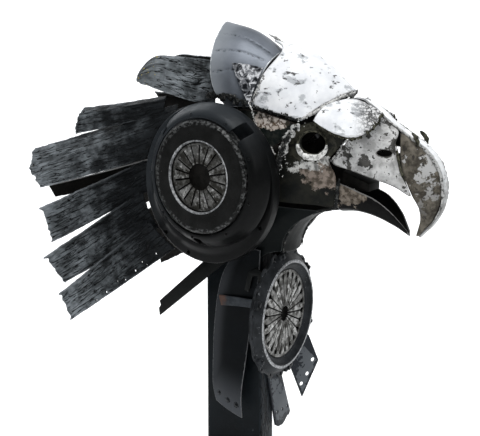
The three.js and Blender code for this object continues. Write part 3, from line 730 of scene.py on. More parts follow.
def blade_paint():
    """Slate paint with a painted highlight along the rear edge and near the tip, and painted shade in
    between.
    """
    material, tree, shader, place = finish("blade_paint", 0.4, 0.2)
    cloud = blotches(tree, place, 0.05, 0.5, 0.22)
    lie, edge = edge_of(tree)
    parts = node(tree, "SeparateXYZ", {0: lie}).outputs
    # Painted light: the tip and the rear edge are made pale, the rest dark.
    tip = ranged(tree, parts[0], 0.27, 0.385)
    rear = ranged(tree, parts[1], 0.032, 0.004)
    lit = sum_of(tree, tip, scaled(tree, rear, 0.45), "MAXIMUM")
    shaded = over(tree, (0.0008, 0.0014, 0.002), (0.0022, 0.0034, 0.0044), cloud)
    colour = over(tree, shaded, (0.052, 0.056, 0.062), lit)
    rubbed = worn_edge(tree, edge, place, 1.3 * MM, 0.006)
    colour = over(tree, colour, (0.13, 0.135, 0.14), scaled(tree, rubbed, 0.7))
    scuffs = use(tree, SCRATCHES, Vector=place, Size=0.02, Amount=0.3)["Mask"]
    colour = over(tree, colour, (0.07, 0.075, 0.08), scaled(tree, scuffs, 0.4))
    tree.links.new(colour, shader["Base Color"])
    tree.links.new(ranged(tree, cloud, 0.0, 1.0, 0.34, 0.5), shader["Roughness"])
    raised(tree, shader, speckle(tree, place, 0.01), 0.35 * MM)
    return material


BLADE_PAINT = blade_paint()
for side, sign in (("right", 1), ("left", -1)):
    rows = blade_rows if sign > 0 else [other_side(row) for row in blade_rows]
    grid = loft(rows, 34, 110)
    blade = sheet(f"breast_blade_{side}_visual", ragged(grid, (0, 1), (1.2, 0.6), 7, sign + 3),
                  (20, 0, -230), [BLADE_PAINT, INNER], relief=0.5 * noise(grid, 40, 8))
    settled(blade)
    bits = bmesh.new()
    for x, z in ((-17, -384), (6, -397), (26, -406)):
        drill(bits, from_datum((x, -62 * sign, z)), (0, 1, 0), 4.5 * MM, 0.05)
    drilled(blade, bits)
    stands_for(blade, "slate_paint", f"breast_blade_{side}")

front_outline = [(-30, -264), (45, -264), (60, -362), (103, -462), (96, -470), (92, -468),
                 (86, -471), (76, -478), (64, -483), (54, -482), (46, -482), (32, -474)]
across_front = Matrix(((0, 0, 1, 71 * MM), (1, 0, 0, 0), (0, 1, 0, LEVEL), (0, 0, 0, 1)))
front = cut_plate("front_blade_visual", front_outline, SHEET, across_front, [SLATE],
                  [(y, -446, 4.5) for y in (41, 64, 88)])
stands_for(front, "slate_paint", "front_blade")
flank_outline = [(-8, -250), (56, -283), (82, -346), (40, -429), (12, -360)]
flank_place = (Matrix.Translation((72 * MM, 87 * MM, LEVEL))
               @ Matrix.Rotation(math.radians(55), 4, "Z") @ Matrix.Rotation(math.pi / 2, 4, "X"))
flank = cut_plate("flank_blade_visual", flank_outline, SHEET, flank_place, [SLATE],
                  [(38, -397, 5), (53, -375, 5), (67, -343, 5)])
stands_for(flank, "slate_paint", "flank_blade")


# ---- Ears: drum, clutch cover, pressure plate and spring -------------------------------------
# Each ear is a car's clutch, bolted to a spun steel drum. Its cover is pressed steel with four
# windows, its pressure plate is cast iron with a machined face, and its diaphragm spring is cut
# from one disc into fingers. Everything but the spring and the rims has been dusted with paint.

DRUM_PLACE = (-13, -97, 89)
EAR_PLACE = (4, -130, 111)
EAR_YAW = 6
DRUM_R = 170
COVER_R = 152
RING_R = 118
RING_INNER = 74
HUB_R = 28
FINGERS = 18
# Each window of the cover: degrees round the axis, width, and distance from the axis.
WINDOWS = ((45, 30, 134), (137, 22, 143), (167, 26, 150), (265, 22, 148))


def ear_axes(centre):
    """Puts a part made about +Z, in millimetres, on the eagle's right side."""
    return (Matrix.Translation(from_datum(centre)) @ Matrix.Rotation(math.radians(-EAR_YAW), 4, "Z")
            @ Matrix.Rotation(math.pi / 2, 4, "X") @ Matrix.Scale(MM, 4))


def spun(bm, profile, steps=144, slots=None):
    """Turns an open profile of (radius, height) about +Z; slots gives each step's material."""
    ring = [bm.verts.new((r, 0, h)) for r, h in profile]
    lines = [bm.edges.new(pair) for pair in zip(ring, ring[1:])]
    bmesh.ops.spin(bm, geom=ring + lines, cent=(0, 0, 0), axis=(0, 0, 1), dvec=(0, 0, 0),
                   angle=2 * math.pi, steps=steps, use_merge=True)
    bmesh.ops.recalc_face_normals(bm, faces=bm.faces)
    if slots:
        for face in bm.faces:
            centre = face.calc_center_median()
            face.material_index = slots(math.hypot(centre.x, centre.y), centre.z)
    return bm


def rounded(profile, radius, closed=False):
    """A profile with each corner turned into a short arc."""
    smooth = []
    count = len(profile)
    for k, corner in enumerate(profile):
        if not closed and k in (0, count - 1):
            smooth.append(corner)
            continue
        here = np.array(corner, float)
        before = np.array(profile[k - 1], float) - here
        after = np.array(profile[(k + 1) % count], float) - here
        a = min(radius, np.linalg.norm(before) * 0.45)
        b = min(radius, np.linalg.norm(after) * 0.45)
        start = here + before / np.linalg.norm(before) * a
        stop = here + after / np.linalg.norm(after) * b
        for s in (0, 0.33, 0.67, 1):
            smooth.append(tuple(start * (1 - s)**2 + here * 2 * s * (1 - s) + stop * s**2))
    return smooth


def on_ear(made, place, side):
    """Moves a part from its own axes to an ear, mirrored for the left one."""
    turn = ear_axes(place)
    made.data.transform(Matrix.Scale(-1, 4, (0, 1, 0)) @ turn if side == "left" else turn)
    if side == "left":
        made.data.flip_normals()
    return made


def radius_on(tree, place, centre):
    """Distance from a clutch's axis, in metres, measured in the plane of the object's side."""
    away = node(tree, "VectorMath", {0: place, 1: centre}, operation="SUBTRACT").outputs[0]
    flat = node(tree, "VectorMath", {0: away, 1: (1.0, 0.0, 1.0)}, operation="MULTIPLY").outputs[0]
    return node(tree, "VectorMath", {0: flat}, operation="LENGTH").outputs["Value"]


def drum_paint():
    """Satin grey paint, paler towards the top as a painted highlight and near black below as painted shade.
    """
    material, tree, shader, place = finish("drum_paint", 0.38, 0.2)
    cloud = blotches(tree, place, 0.06, 0.5, 0.25)
    parts = node(tree, "SeparateXYZ", {0: place}).outputs
    # Painted light: a ramp up the part makes its upper side pale and its lower side near black as painted
    # shade.
    slope = sum_of(tree, parts[2], scaled(tree, parts[0], -0.75))
    high = ranged(tree, sum_of(tree, slope, scaled(tree, cloud, 0.03)), 0.66, 0.92)
    colour = over(tree, (0.0028, 0.003, 0.003), (0.024, 0.028, 0.032), high)
    colour = over(tree, colour, (0.006, 0.0065, 0.007), scaled(tree, cloud, 0.35))
    scuffs = use(tree, SCRATCHES, Vector=place, Size=0.016, Amount=0.18)["Mask"]
    colour = over(tree, colour, (0.11, 0.115, 0.12), scaled(tree, scuffs, 0.6))
    flecks = blotches(tree, place, 0.008, 0.75, 0.01)
    colour = over(tree, colour, (0.2, 0.2, 0.2), flecks)
    tree.links.new(colour, shader["Base Color"])
    tree.links.new(ranged(tree, cloud, 0.0, 1.0, 0.3, 0.48), shader["Roughness"])
    raised(tree, shader, speckle(tree, place, 0.012), 0.35 * MM)
    return material


def friction_iron():
    """Machined iron gone warm grey, with faint turning marks, heat spots and a few scratches."""
    material, tree, shader, place = finish("friction_iron", 0.42, 0.45)
    cloud = blotches(tree, place, 0.03, 0.52, 0.2)
    colour = over(tree, (0.006, 0.0062, 0.006), (0.012, 0.0122, 0.012), cloud)
    spots = blotches(tree, place, 0.016, 0.68, 0.03)
    colour = over(tree, colour, (0.02, 0.019, 0.02), scaled(tree, spots, 0.6))
    scuffs = use(tree, SCRATCHES, Vector=place, Size=0.013, Amount=0.22)["Mask"]
    colour = over(tree, colour, (0.3, 0.3, 0.3), scuffs)
    centre = tuple(from_datum(EAR_PLACE))
    distance = radius_on(tree, place, centre)
    band = ranged(tree, distance, 0.106, 0.11)
    worn = blotches(tree, place, 0.007, 0.53, 0.05)
    colour = over(tree, colour, (0.07, 0.072, 0.072), scaled(tree, worn, band))
    tree.links.new(colour, shader["Base Color"])
    grooves = sum_of(tree, scaled(tree, distance, 4200.0), 0.0, "SINE")
    relief = sum_of(tree, scaled(tree, grooves, 0.12), speckle(tree, place, 0.006))
    tree.links.new(ranged(tree, cloud, 0.0, 1.0, 0.36, 0.5), shader["Roughness"])
    raised(tree, shader, relief, 0.3 * MM)
    return material


def bright_rim():
    """The turned rims: bare steel, pitted and streaked so that the light breaks up on them."""
    material, tree, shader, place = finish("bright_rim", 0.4, 0.4)
    pits = blotches(tree, place, 0.006, 0.5, 0.06)
    broad = blotches(tree, place, 0.06, 0.48, 0.15)
    colour = over(tree, (0.05, 0.052, 0.055), (0.2, 0.205, 0.21), sum_of(tree, pits, broad, "MAXIMUM"))
    colour = over(tree, colour, (0.42, 0.43, 0.44), scaled(tree, pits, broad))
    tree.links.new(colour, shader["Base Color"])
    raised(tree, shader, speckle(tree, place, 0.003), 0.4 * MM)
    return material


def spring_steel(name, dull, bare):
    """Bright spring steel with brown-black stains that differ from finger to finger."""
    material, tree, shader, place = finish(name, 0.36, 0.5)
    mark = node(tree, "Attribute", attribute_name="mark").outputs["Fac"]
    stains = blotches(tree, place, 0.016, 0.5, 0.12)
    fine = blotches(tree, place, 0.005, 0.6, 0.06)
    colour = over(tree, dull, bare, scaled(tree, stains, mark))
    colour = over(tree, colour, (0.58, 0.58, 0.57), scaled(tree, scaled(tree, stains, mark),
                                                           fine))
    dark = blotches(tree, place, 0.009, 0.6, 0.04)
    colour = over(tree, colour, (0.012, 0.011, 0.009), scaled(tree, dark, 0.9))
    tree.links.new(colour, shader["Base Color"])
    tree.links.new(ranged(tree, stains, 0.0, 1.0, 0.5, 0.3), shader["Roughness"])
    raised(tree, shader, speckle(tree, place, 0.005), 0.35 * MM)
    return material


DRUM_PAINT = drum_paint()
IRON = friction_iron()
RIM = bright_rim()
SPRING = spring_steel("ear_spring_steel", (0.022, 0.021, 0.018), (0.2, 0.2, 0.195))


def diaphragm(name, outer, slot_end, hub, count, gap, heights, thickness, window=0):
    """A diaphragm spring: one finger bent from a grid and repeated round the axis, with the ring
    that joins them. heights are at the hub and at the rim."""
    pitch = 2 * math.pi / count
    bm = bmesh.new()
    worn = bm.verts.layers.float.new("mark")
    for k in range(count):
        made = bmesh.ops.create_grid(bm, x_segments=6, y_segments=16, size=0.5)
        shade = 0.62 + 0.38 * math.sin(k * 2.4) + 0.2 * math.sin(k * 5.1)
        for v in made["verts"]:
            t = v.co.y + 0.5
            r = hub + (slot_end - hub) * t
            half = pitch / 2 - gap / 2 / r
            if window and t > 0.84:
                half -= window / 2 / r * min(1, (t - 0.84) / 0.05)
            turn = k * pitch + v.co.x * 2 * half
            tilt = 0.5 * math.sin(k * 1.7)
            v.co = (r * math.cos(turn), r * math.sin(turn),
                    heights[0] + (heights[1] - heights[0]) * t + tilt * (1 - t))
            v[worn] = min(1, max(0.25, shade))
    start = len(bm.verts)
    ring = [bm.verts.new((r, 0, heights[1])) for r in (slot_end - 0.3, (slot_end + outer) / 2, outer)]
    lines = [bm.edges.new(pair) for pair in zip(ring, ring[1:])]
    bmesh.ops.spin(bm, geom=ring + lines, cent=(0, 0, 0), axis=(0, 0, 1), dvec=(0, 0, 0),
                   angle=2 * math.pi, steps=count * 6, use_merge=True)
    bm.verts.ensure_lookup_table()
    for v in bm.verts[start:]:
        v[worn] = 0.35
    bm.normal_update()
    bmesh.ops.reverse_faces(bm, faces=[f for f in bm.faces if f.normal.z < 0])
    made = walled(kept(name, bm, SPRING), thickness)
    return settled(softened(made, 0.7, 2, 40))


drum_profile = [(DRUM_R - 5, -8), (DRUM_R, -8), (DRUM_R, 18), (150, 20), (136, 30), (90, 30)]
cover_profile = [(COVER_R, 0), (148, 11), (137, 29), (128, 36), (122, 36)]
plate_profile = [(RING_R, 14), (RING_R, 38), (RING_R - 5, 42), (RING_R - 9, 42.4), (110, 43),
                 (RING_INNER + 4, 43), (RING_INNER + 3, 43.6), (RING_INNER, 43.4), (RING_INNER - 1, 40),
                 (RING_INNER, 34), (HUB_R, 22), (0.01, 22)]
for side in ("right", "left"):
    bm = spun(bmesh.new(), rounded(drum_profile, 4), 180)
    bmesh.ops.remove_doubles(bm, verts=bm.verts, dist=1e-4)
    drum = kept(f"ear_drum_{side}_visual", bm, DRUM_PAINT, INNER)
    if sum(p.normal.z * p.area for p in drum.data.polygons) < 0:
        drum.data.flip_normals()
    settled(walled(drum, 4.5, 0, 1))
    bits = bmesh.new()
    for degrees in (226, 252, 330, 15):
        spot = math.radians(degrees)
        drill(bits, (160 * math.cos(spot), 160 * math.sin(spot), 18), (0, 0, 1), 4.5, 20)
    drilled(drum, bits)
    stands_for(sharp(on_ear(drum, DRUM_PLACE, side)), "drum_paint", f"ear_drum_{side}")

    bm = spun(bmesh.new(), rounded(cover_profile, 5), 180)
    cover = kept(f"ear_cover_{side}_visual", bm, DRUM_PAINT, INNER)
    if sum(p.normal.z * p.area for p in cover.data.polygons) < 0:
        cover.data.flip_normals()
    settled(walled(cover, 4, 0, 1))
    bits = bmesh.new()
    for degrees, length, out in WINDOWS:
        turn = Matrix.Rotation(math.radians(degrees), 4, "Z")
        window = bmesh.ops.create_cube(bits, size=1, matrix=turn @ Matrix.Translation((out, 0, 22))
                                       @ Matrix.Diagonal((34, length, 34, 1)))
        uprights = {e for v in window["verts"] for e in v.link_edges}
        uprights = [e for e in uprights
                    if abs((e.verts[0].co - e.verts[1].co).normalized().z) > 0.9]
        bmesh.ops.bevel(bits, geom=uprights, offset=5, segments=4, profile=0.5, affect="EDGES",
                        material=-1)
    drilled(cover, bits)
    settled(softened(cover, 0.9, 2, 50))
    stands_for(sharp(on_ear(cover, EAR_PLACE, side), 50), "drum_paint", f"ear_cover_{side}")

    def plate_slot(r, h):
        bright = (RING_R - 2.3 < r and h > 37.5) or (RING_INNER - 2 < r < RING_INNER + 1.6 and h > 40)
        return 1 if bright else 0 if r > RING_INNER - 2 else 2

    bm = spun(bmesh.new(), plate_profile, 180, plate_slot)
    bmesh.ops.remove_doubles(bm, verts=bm.verts, dist=0.02)
    iron = kept(f"ear_pressure_plate_{side}_visual", bm, IRON, RIM, INNER)
    if sum(p.normal.z * p.area for p in iron.data.polygons) < 0:
        iron.data.flip_normals()
    settled(walled(iron, 5))
    bits = bmesh.new()
    for degrees, r, size in ((12, 97, 3.4), (-22, 99, 3.4), (250, 96, 2), (104, 92, 2), (300, 88, 2)):
        spot = math.radians(degrees)
        drill(bits, (r * math.cos(spot), r * math.sin(spot), 44), (0, 0, 1), size, 3, 16)
    drilled(iron, bits)
    stands_for(sharp(on_ear(iron, EAR_PLACE, side), 30), "friction_iron",
               f"ear_pressure_plate_{side}")

    spring = diaphragm(f"ear_spring_{side}_visual", 71.5, 67, HUB_R, FINGERS, 3.6, (38.5, 37), 2.6)
    stands_for(sharp(on_ear(spring, EAR_PLACE, side), 50), "spring_steel", f"ear_spring_{side}")

    bm = bmesh.new()
    for k in range(9):
        spot = math.radians(20 + k * 40)
        stud = Matrix.Translation((131 * math.cos(spot), 131 * math.sin(spot), 35))
        bmesh.ops.create_icosphere(bm, subdivisions=2, radius=3.2,
                                   matrix=stud @ Matrix.Scale(0.5, 4, (0, 0, 1)))
    rivets = kept(f"ear_rivets_{side}", bm, DRUM_PAINT)
    stands_for(on_ear(rivets, EAR_PLACE, side), "drum_paint")


# ---- Breast: clutch cover, pressure plate and spring -----------------------------------------
# The breast has a third clutch, facing forward. Its cover's flange is scalloped and drilled, its
# pressed rim is rubbed bright, and its spring has T-shaped windows at the ends of the slots.

CHEST_PLACE = (104, 0, -201)
CHEST_PITCH = 2
CHEST_OUTER = 142
CHEST_LOBES = 18


def chest_axes():
    """Puts a part made about +Z, in millimetres, on the breast."""
    return (Matrix.Translation(from_datum(CHEST_PLACE))
            @ Matrix.Rotation(math.pi / 2 + math.radians(CHEST_PITCH), 4, "Y") @ Matrix.Scale(MM, 4))


def clutch_paint():
    """Dark grey paint on pressed steel, rubbed along every edge and freckled with grit."""
    material, tree, shader, place = finish("clutch_paint", 0.44, 0.25)
    cloud = blotches(tree, place, 0.04, 0.5, 0.2)
    colour = over(tree, (0.008, 0.009, 0.0098), (0.026, 0.0285, 0.0315), cloud)
    scuffs = use(tree, SCRATCHES, Vector=place, Size=0.012, Amount=0.35)["Mask"]
    colour = over(tree, colour, (0.1, 0.1, 0.1), scaled(tree, scuffs, 0.6))
    flecks = blotches(tree, place, 0.007, 0.66, 0.02)
    colour = over(tree, colour, (0.1, 0.105, 0.11), flecks)
    tree.links.new(colour, shader["Base Color"])
    tree.links.new(ranged(tree, cloud, 0.0, 1.0, 0.36, 0.52), shader["Roughness"])
    raised(tree, shader, speckle(tree, place, 0.005), 0.5 * MM)
    return material


CLUTCH_PAINT = clutch_paint()
bm = bmesh.new()
bmesh.ops.create_grid(bm, x_segments=CHEST_LOBES * 12, y_segments=6, size=0.5)
for v in bm.verts:
    turn = (v.co.x + 0.5) * 2 * math.pi
    share = v.co.y + 0.5
    lobe = math.tanh(3.2 * (math.cos(CHEST_LOBES * turn) - 0.1))
    deep = 1 + 0.6 * math.sin(turn * 2 + 0.6)
    rim = CHEST_OUTER + 3.6 * lobe * deep - 1.2
    r = 116 + (rim - 116) * share
    v.co = (r * math.cos(turn), r * math.sin(turn), 4 + 0.4 * math.sin(turn * 7))
bmesh.ops.remove_doubles(bm, verts=bm.verts, dist=0.01)
bm.normal_update()
bmesh.ops.reverse_faces(bm, faces=[f for f in bm.faces if f.normal.z < 0])
flange = settled(walled(kept("chest_flange_visual", bm, CLUTCH_PAINT), 4))
bits = bmesh.new()
for k in range(CHEST_LOBES):
    spot = 2 * math.pi * k / CHEST_LOBES
    size = 3.4 if k % 3 else 4.8
    drill(bits, (137 * math.cos(spot), 137 * math.sin(spot), 2), (0, 0, 1), size, 20, 14)
drilled(flange, bits)
settled(softened(flange, 0.6, 2, 50))
flange.data.transform(chest_axes())
stands_for(sharp(flange, 50), "clutch_paint")

dish_profile = [(134, 3.5), (130, 8), (120, 18), (118, 19.4), (115, 20), (112, 18), (110, 14),
                (105, 10), (100, 8), (98, 6)]
bm = spun(bmesh.new(), rounded(dish_profile, 2), 160,
          lambda r, h: 1 if 113.5 < r < 119.5 and h > 16.5 else 0 if r > 112 else 2)
dish = kept("chest_dish_visual", bm, CLUTCH_PAINT, RIM, CLUTCH_PAINT)
if sum(p.normal.z * p.area for p in dish.data.polygons) < 0:
    dish.data.flip_normals()
settled(walled(dish, 3))
dish.data.transform(chest_axes())
stands_for(sharp(dish, 40), "clutch_paint", "chest_cover")

bm = bmesh.new()
for k in range(CHEST_LOBES):
    if k % 3:
        continue
    spot = 2 * math.pi * (k + 0.5) / CHEST_LOBES
    lug = Matrix.Rotation(spot, 4, "Z") @ Matrix.Translation((131, 0, 7))
    block = bmesh.ops.create_cube(bm, size=1, matrix=lug @ Matrix.Diagonal((15, 20, 9, 1)))
    edges = list({e for v in block["verts"] for e in v.link_edges})
    bmesh.ops.bevel(bm, geom=edges, offset=2, segments=3, profile=0.5, affect="EDGES", material=-1)
    cap = Matrix.Rotation(spot, 4, "Z") @ Matrix.Translation((132, 0, 13))
    bmesh.ops.create_cone(bm, cap_ends=True, segments=6, radius1=4.5, radius2=4.5, depth=5, matrix=cap)
lugs = kept("chest_lugs", bm, CLUTCH_PAINT)
lugs.data.transform(chest_axes())
stands_for(sharp(lugs), "clutch_paint")

CHEST_SPRING = spring_steel("chest_spring_steel", (0.03, 0.029, 0.025), (0.42, 0.42, 0.41))
chest_spring = diaphragm("chest_spring_visual", 97, 91, 17, 24, 3.0, (9.0, 7.6), 2.6, window=9)
chest_spring.data.materials[0] = CHEST_SPRING
chest_spring.data.transform(chest_axes())
stands_for(sharp(chest_spring, 50), "spring_steel", "chest_spring")

backing_profile = [(0.01, -8), (40, -6.5), (112, -3), (112, -18), (50, -18), (50, -31), (0.01, -31)]
bm = spun(bmesh.new(), backing_profile, 120, lambda r, h: 1 if h > -10 and r < 108 else 0)
bmesh.ops.remove_doubles(bm, verts=bm.verts, dist=0.02)
bmesh.ops.recalc_face_normals(bm, faces=bm.faces)
backing = kept("chest_pressure_plate_visual", bm, CLUTCH_PAINT, INNER)
backing.data.transform(chest_axes())
stands_for(sharp(backing), "friction_iron", "chest_pressure_plate")


# ---- Neck feathers ---------------------------------------------------------------------------
# The neck feathers are strips of thin plate folded along one edge and torn off at the tip. A hard
# coat over them has dried and split into long cracks like bark, deeper towards the tips.

FEATHER_WALL = 3.4 * MM


def feather_coat(name, start, stop):
    """Blue-grey coat with black cracks: almost black at the roots, pale from start to stop on."""
    material, tree, shader, place = finish(name, 0.5, 0.1)
    mark = node(tree, "Attribute", attribute_name="mark").outputs["Fac"]
    lie, edge = edge_of(tree)
    parts = node(tree, "SeparateXYZ", {0: lie}).outputs
    cloud = blotches(tree, place, 0.035, 0.5, 0.16)
    reach = sum_of(tree, parts[0], scaled(tree, sum_of(tree, cloud, 0.5, "SUBTRACT"), 0.1))
    tip = ranged(tree, reach, start, stop)
    dark = over(tree, (0.005, 0.006, 0.0068), (0.012, 0.0138, 0.0155), cloud)
    pale = over(tree, (0.11, 0.122, 0.13), (0.2, 0.22, 0.235), cloud)
    colour = over(tree, dark, pale, tip)
    grain = node(tree, "VectorMath", {0: lie, 1: (13.0, 100.0, 0.0)}, operation="MULTIPLY").outputs[0]
    field = node(tree, "TexNoise", {"Vector": grain, "Scale": 1.0, "Detail": 3.0, "Roughness": 0.55,
                                    "Distortion": 0.35}).outputs["Fac"]
    rings = sum_of(tree, scaled(tree, field, 4.6), 0.5, "PINGPONG")
    splits = ranged(tree, rings, 0.13, 0.05)
    broken = blotches(tree, lie, 0.018, 0.34, 0.05)
    fine = scaled(tree, splits, broken)
    cracks = sum_of(tree, scaled(tree, mark, 0.5), fine, "MAXIMUM")
    colour = over(tree, colour, (0.0022, 0.0026, 0.003), cracks)
    rubbed = worn_edge(tree, edge, place, 3.2 * MM, 0.007)
    lip = over(tree, (0.045, 0.05, 0.054), (0.2, 0.215, 0.23), tip)
    rubbed = scaled(tree, rubbed, ranged(tree, parts[0], 0.02, 0.09))
    colour = over(tree, colour, lip, scaled(tree, rubbed, 0.75))
    flecks = blotches(tree, place, 0.01, 0.735, 0.012)
    colour = over(tree, colour, (0.42, 0.43, 0.42), flecks)
    specks = blotches(tree, place, 0.007, 0.64, 0.02)
    torn_end = ranged(tree, parts[0], stop * 0.93, stop)
    colour = over(tree, colour, (0.36, 0.29, 0.06), scaled(tree, specks, torn_end))
    tree.links.new(colour, shader["Base Color"])
    tree.links.new(ranged(tree, cloud, 0.0, 1.0, 0.42, 0.62), shader["Roughness"])
    ledge = scaled(tree, ranged(tree, rings, 0.0, 0.32), 1.7)
    raised(tree, shader, sum_of(tree, speckle(tree, place, 0.004), ledge), 1.3 * MM)
    return material


def bark(grid, seed, depth):
    """Long wandering cracks: how deep each point lies, and a mark where the cracks are."""
    down, over_it = spans(grid)
    rows, columns = grid.shape[:2]
    along = np.linspace(0, down, rows)[:, None] * np.ones((1, columns))
    across = np.linspace(0, over_it, columns)[None, :] * np.ones((rows, 1))
    flat = np.stack([along, across, np.zeros_like(along)], axis=2)
    sway = 4.5 * noise(flat, 26, seed) + 1.6 * noise(flat, 9, seed + 1)
    place = np.stack([along / 38, (across + sway) / 8.4, np.full_like(along, seed * 3.1)], axis=2)
    cracks = np.exp(-(noise(place, 1.0, seed + 2) / 0.19)**2)
    strength = np.clip(0.72 + 0.9 * noise(flat, 21, seed + 4), 0, 1)
    toward_tip = np.clip(along / down * 1.6, 0.3, 1)
    cracks = cracks * strength * toward_tip
    lumps = 0.55 * noise(place, 0.8, seed + 6) * toward_tip + 0.8 * noise(flat, 46, seed + 5)
    return lumps * 0.6 - depth * cracks, np.clip(cracks * 1.25, 0, 1)


def folded_strip(root, tip, sag=0.0):
    """A grid on a strip: a flange, a fold and a web between the root's and the tip's points."""
    flange_steps = max(3, round(np.linalg.norm(np.subtract(tip[1], tip[0])) / 2.8))
    web_steps = max(8, round(np.linalg.norm(np.subtract(tip[2], tip[1])) / 2.3))
    length = np.linalg.norm(np.subtract(tip[1], root[1]))
    rows = []
    for s in np.linspace(0, 1, round(length / 3.3) + 1):
        a, b, c = [np.array(r, float) * (1 - s) + np.array(t, float) * s for r, t in zip(root, tip)]
        flange = a + (b - a) * np.linspace(0, 1, flange_steps, endpoint=False)[:, None]
        web = b + (c - b) * np.linspace(0, 1, web_steps + 1)[:, None]
        row = np.vstack([flange, web])
        row[:, 2] -= sag * 4 * s * (1 - s)
        rows.append(row)
    return np.array(rows)


def clear_of_drum(grid, sign):
    """The part of a strip that lies outside the drum's rim."""
    away = grid - np.array(DRUM_PLACE) * (1, sign, 1)
    axis = np.array([-math.sin(math.radians(EAR_YAW)), -sign * math.cos(math.radians(EAR_YAW)), 0])
    radius = np.linalg.norm(away - (away @ axis)[..., None] * axis, axis=2)
    rows, columns = radius.shape
    first = np.argmax(radius > DRUM_R + 1, axis=0) / (rows - 1)
    t = np.linspace(0, 1, rows)[:, None]
    q = np.linspace(0, 1, columns)[None, :] * np.ones((rows, 1))
    return sampled(grid, first[None, :] + t * (1 - first[None, :]), q)


FEATHER_COAT = feather_coat("feather_coat", 0.06, 0.36)
FIRST_COAT = feather_coat("first_feather_coat", -0.05, 0.16)
FEATHERS = {
    "feather_2": dict(inside=(-250, 0, 200), reach=0.6, lift=18,
                      root=[[-150, -58, 268], [-147, -75, 260], [-150, -70, 228]],
                      tip=[[-360, -84, 236], [-366, -100, 222], [-376, -104, 174]]),
    "feather_3": dict(inside=(-300, 0, 120), reach=0.86, lift=18,
                      root=[[-120, -62, 252], [-112, -86, 217], [-114, -88, 152]],
                      tip=[[-496, -106, 136], [-487, -135, 91], [-452, -135, 50]]),
    "feather_4": dict(inside=(-300, 0, 60), reach=0.86, lift=18,
                      root=[[-140, -30, 146], [-138, -52, 142], [-140, -54, 100]],
                      tip=[[-470, -56, 50], [-472, -78, 46], [-452, -80, 22]]),
    "feather_5": dict(inside=(-300, 0, 20), reach=0.86, lift=18,
                      root=[[-118, -93, 156], [-118, -82, 153], [-118, -78, 94]],
                      tip=[[-460, -142, 0], [-453, -130, -6], [-431, -126, -78]]),
    "feather_6": dict(inside=(-300, 0, -80), reach=0.86, lift=18,
                      root=[[-102, -109, 114], [-102, -98, 110], [-94, -94, 13]],
                      tip=[[-446, -147, -116], [-437, -135, -117], [-396, -131, -169]]),
    "feather_7": dict(inside=(-300, 0, -160), reach=0.74, lift=40,
                      root=[[-89, -118, 54], [-89, -107, 50], [-86, -103, -48]],
                      tip=[[-398, -152, -195], [-396, -141, -198], [-373, -137, -252]]),
}


def plain_shaded_strip():
    """The plain strip among them, set deeper than the rest: brown-black without cracks, its near black partly
    painted shade.
    """
    material, tree, shader, place = finish("plain_shaded_strip", 0.55, 0.2)
    cloud = blotches(tree, place, 0.03, 0.5, 0.2)
    tree.links.new(over(tree, (0.0035, 0.0035, 0.003), (0.01, 0.0085, 0.0065), cloud),
                   shader["Base Color"])
    raised(tree, shader, speckle(tree, place, 0.006), 0.4 * MM)
    return material


PLAIN_SHADED_STRIP = plain_shaded_strip()
for number, (name, form) in enumerate(FEATHERS.items(), start=2):
    for side, sign in (("right", 1), ("left", -1)):
        root, tip = form["root"], form["tip"]
        if sign < 0:
            tip = [np.array(r, float) + (np.array(t, float) - r) * form["reach"] + (0, 0, form["lift"])
                   for r, t in zip(root, tip)]
            root, tip = other_side(root), other_side(tip)
        grid = clear_of_drum(folded_strip(root, tip, sag=2.0), sign)
        seed = number * 2 + (sign < 0)
        plain = name == "feather_4"
        grid = ragged(grid, (0, 3 if plain else 11), (3.0, 1.4), 8, seed)
        relief, mark = bark(grid, seed, 0.2 if plain else 1.6)
        inside = np.array(form["inside"], float) * (1, sign, 1)
        # feather_4 lies deeper and takes the plain near-black coat, partly painted shade.
        outer = PLAIN_SHADED_STRIP if plain else FEATHER_COAT
        strip = sheet(f"{name}_{side}_visual", grid, inside, [outer, INNER], FEATHER_WALL,
                      relief, None if plain else mark, bevel=0.5 * MM)
        if name == "feather_7" and sign > 0:
            settled(strip)
            bits = bmesh.new()
            web = np.array(tip[2], float) - np.array(root[2], float)
            for share, rise, size in ((0.22, 17, 2.2), (0.34, 20, 2), (0.4, 11, 2.6), (0.49, 6, 2.2),
                                      (0.56, 15, 1.8), (0.66, 8, 2.6), (0.75, 5, 2), (0.3, 7, 1.6)):
                spot = np.array(root[2]) + web * share + (0, 0, rise)
                drill(bits, from_datum(spot), (0, 1, 0), size * MM, 0.03, 10)
            drilled(strip, bits)
        stands_for(strip, "feather_steel", f"{name}_{side}")

first_rows = [
    [[-22, -46, 344], [-22, -62, 300], [-24, -68, 250]],
    [[-80, -44, 349], [-80, -63, 304], [-80, -69, 257]],
    [[-135, -42, 352], [-132, -62, 312], [-128, -68, 268]],
    [[-184, -42, 353], [-180, -60, 318], [-178, -66, 281]],
    [[-211, -44, 339], [-208, -58, 316], [-206, -63, 289]],
    [[-229, -52, 317], [-231, -58, 306], [-231, -60, 295]],
]
for side, sign in (("right", 1), ("left", -1)):
    rows = first_rows if sign > 0 else [other_side(row) for row in first_rows]
    grid = ragged(loft(rows, 38, 74), (0, 4), (1.5, 1.5), 9, 30 + sign)
    relief, mark = bark(grid, 40 + sign, 1.2)
    wide = sheet(f"feather_1_{side}_visual", grid, (-100, 0, 250), [FIRST_COAT, INNER],
                 FEATHER_WALL, relief, mark * 0.9, bevel=0.5 * MM)
    stands_for(wide, "feather_steel", f"feather_1_{side}")


# Weld metal where the feathers meet the drum's rim.
for side, sign in (("right", 1), ("left", -1)):
    turns = [math.radians(degrees) for degrees in (172, 190, 208, 226, 240)]
    joint = [[DRUM_PLACE[0] + (DRUM_R + 2) * math.cos(a), sign * (DRUM_PLACE[1] - 17 * math.cos(a)),
              DRUM_PLACE[2] + (DRUM_R + 2) * math.sin(a)] for a in turns]
    stands_for(drops(f"feather_root_drops_{side}", joint, 7.0, 110, 4.6, OLIVE_WELD, 90 + sign), "weld_metal")


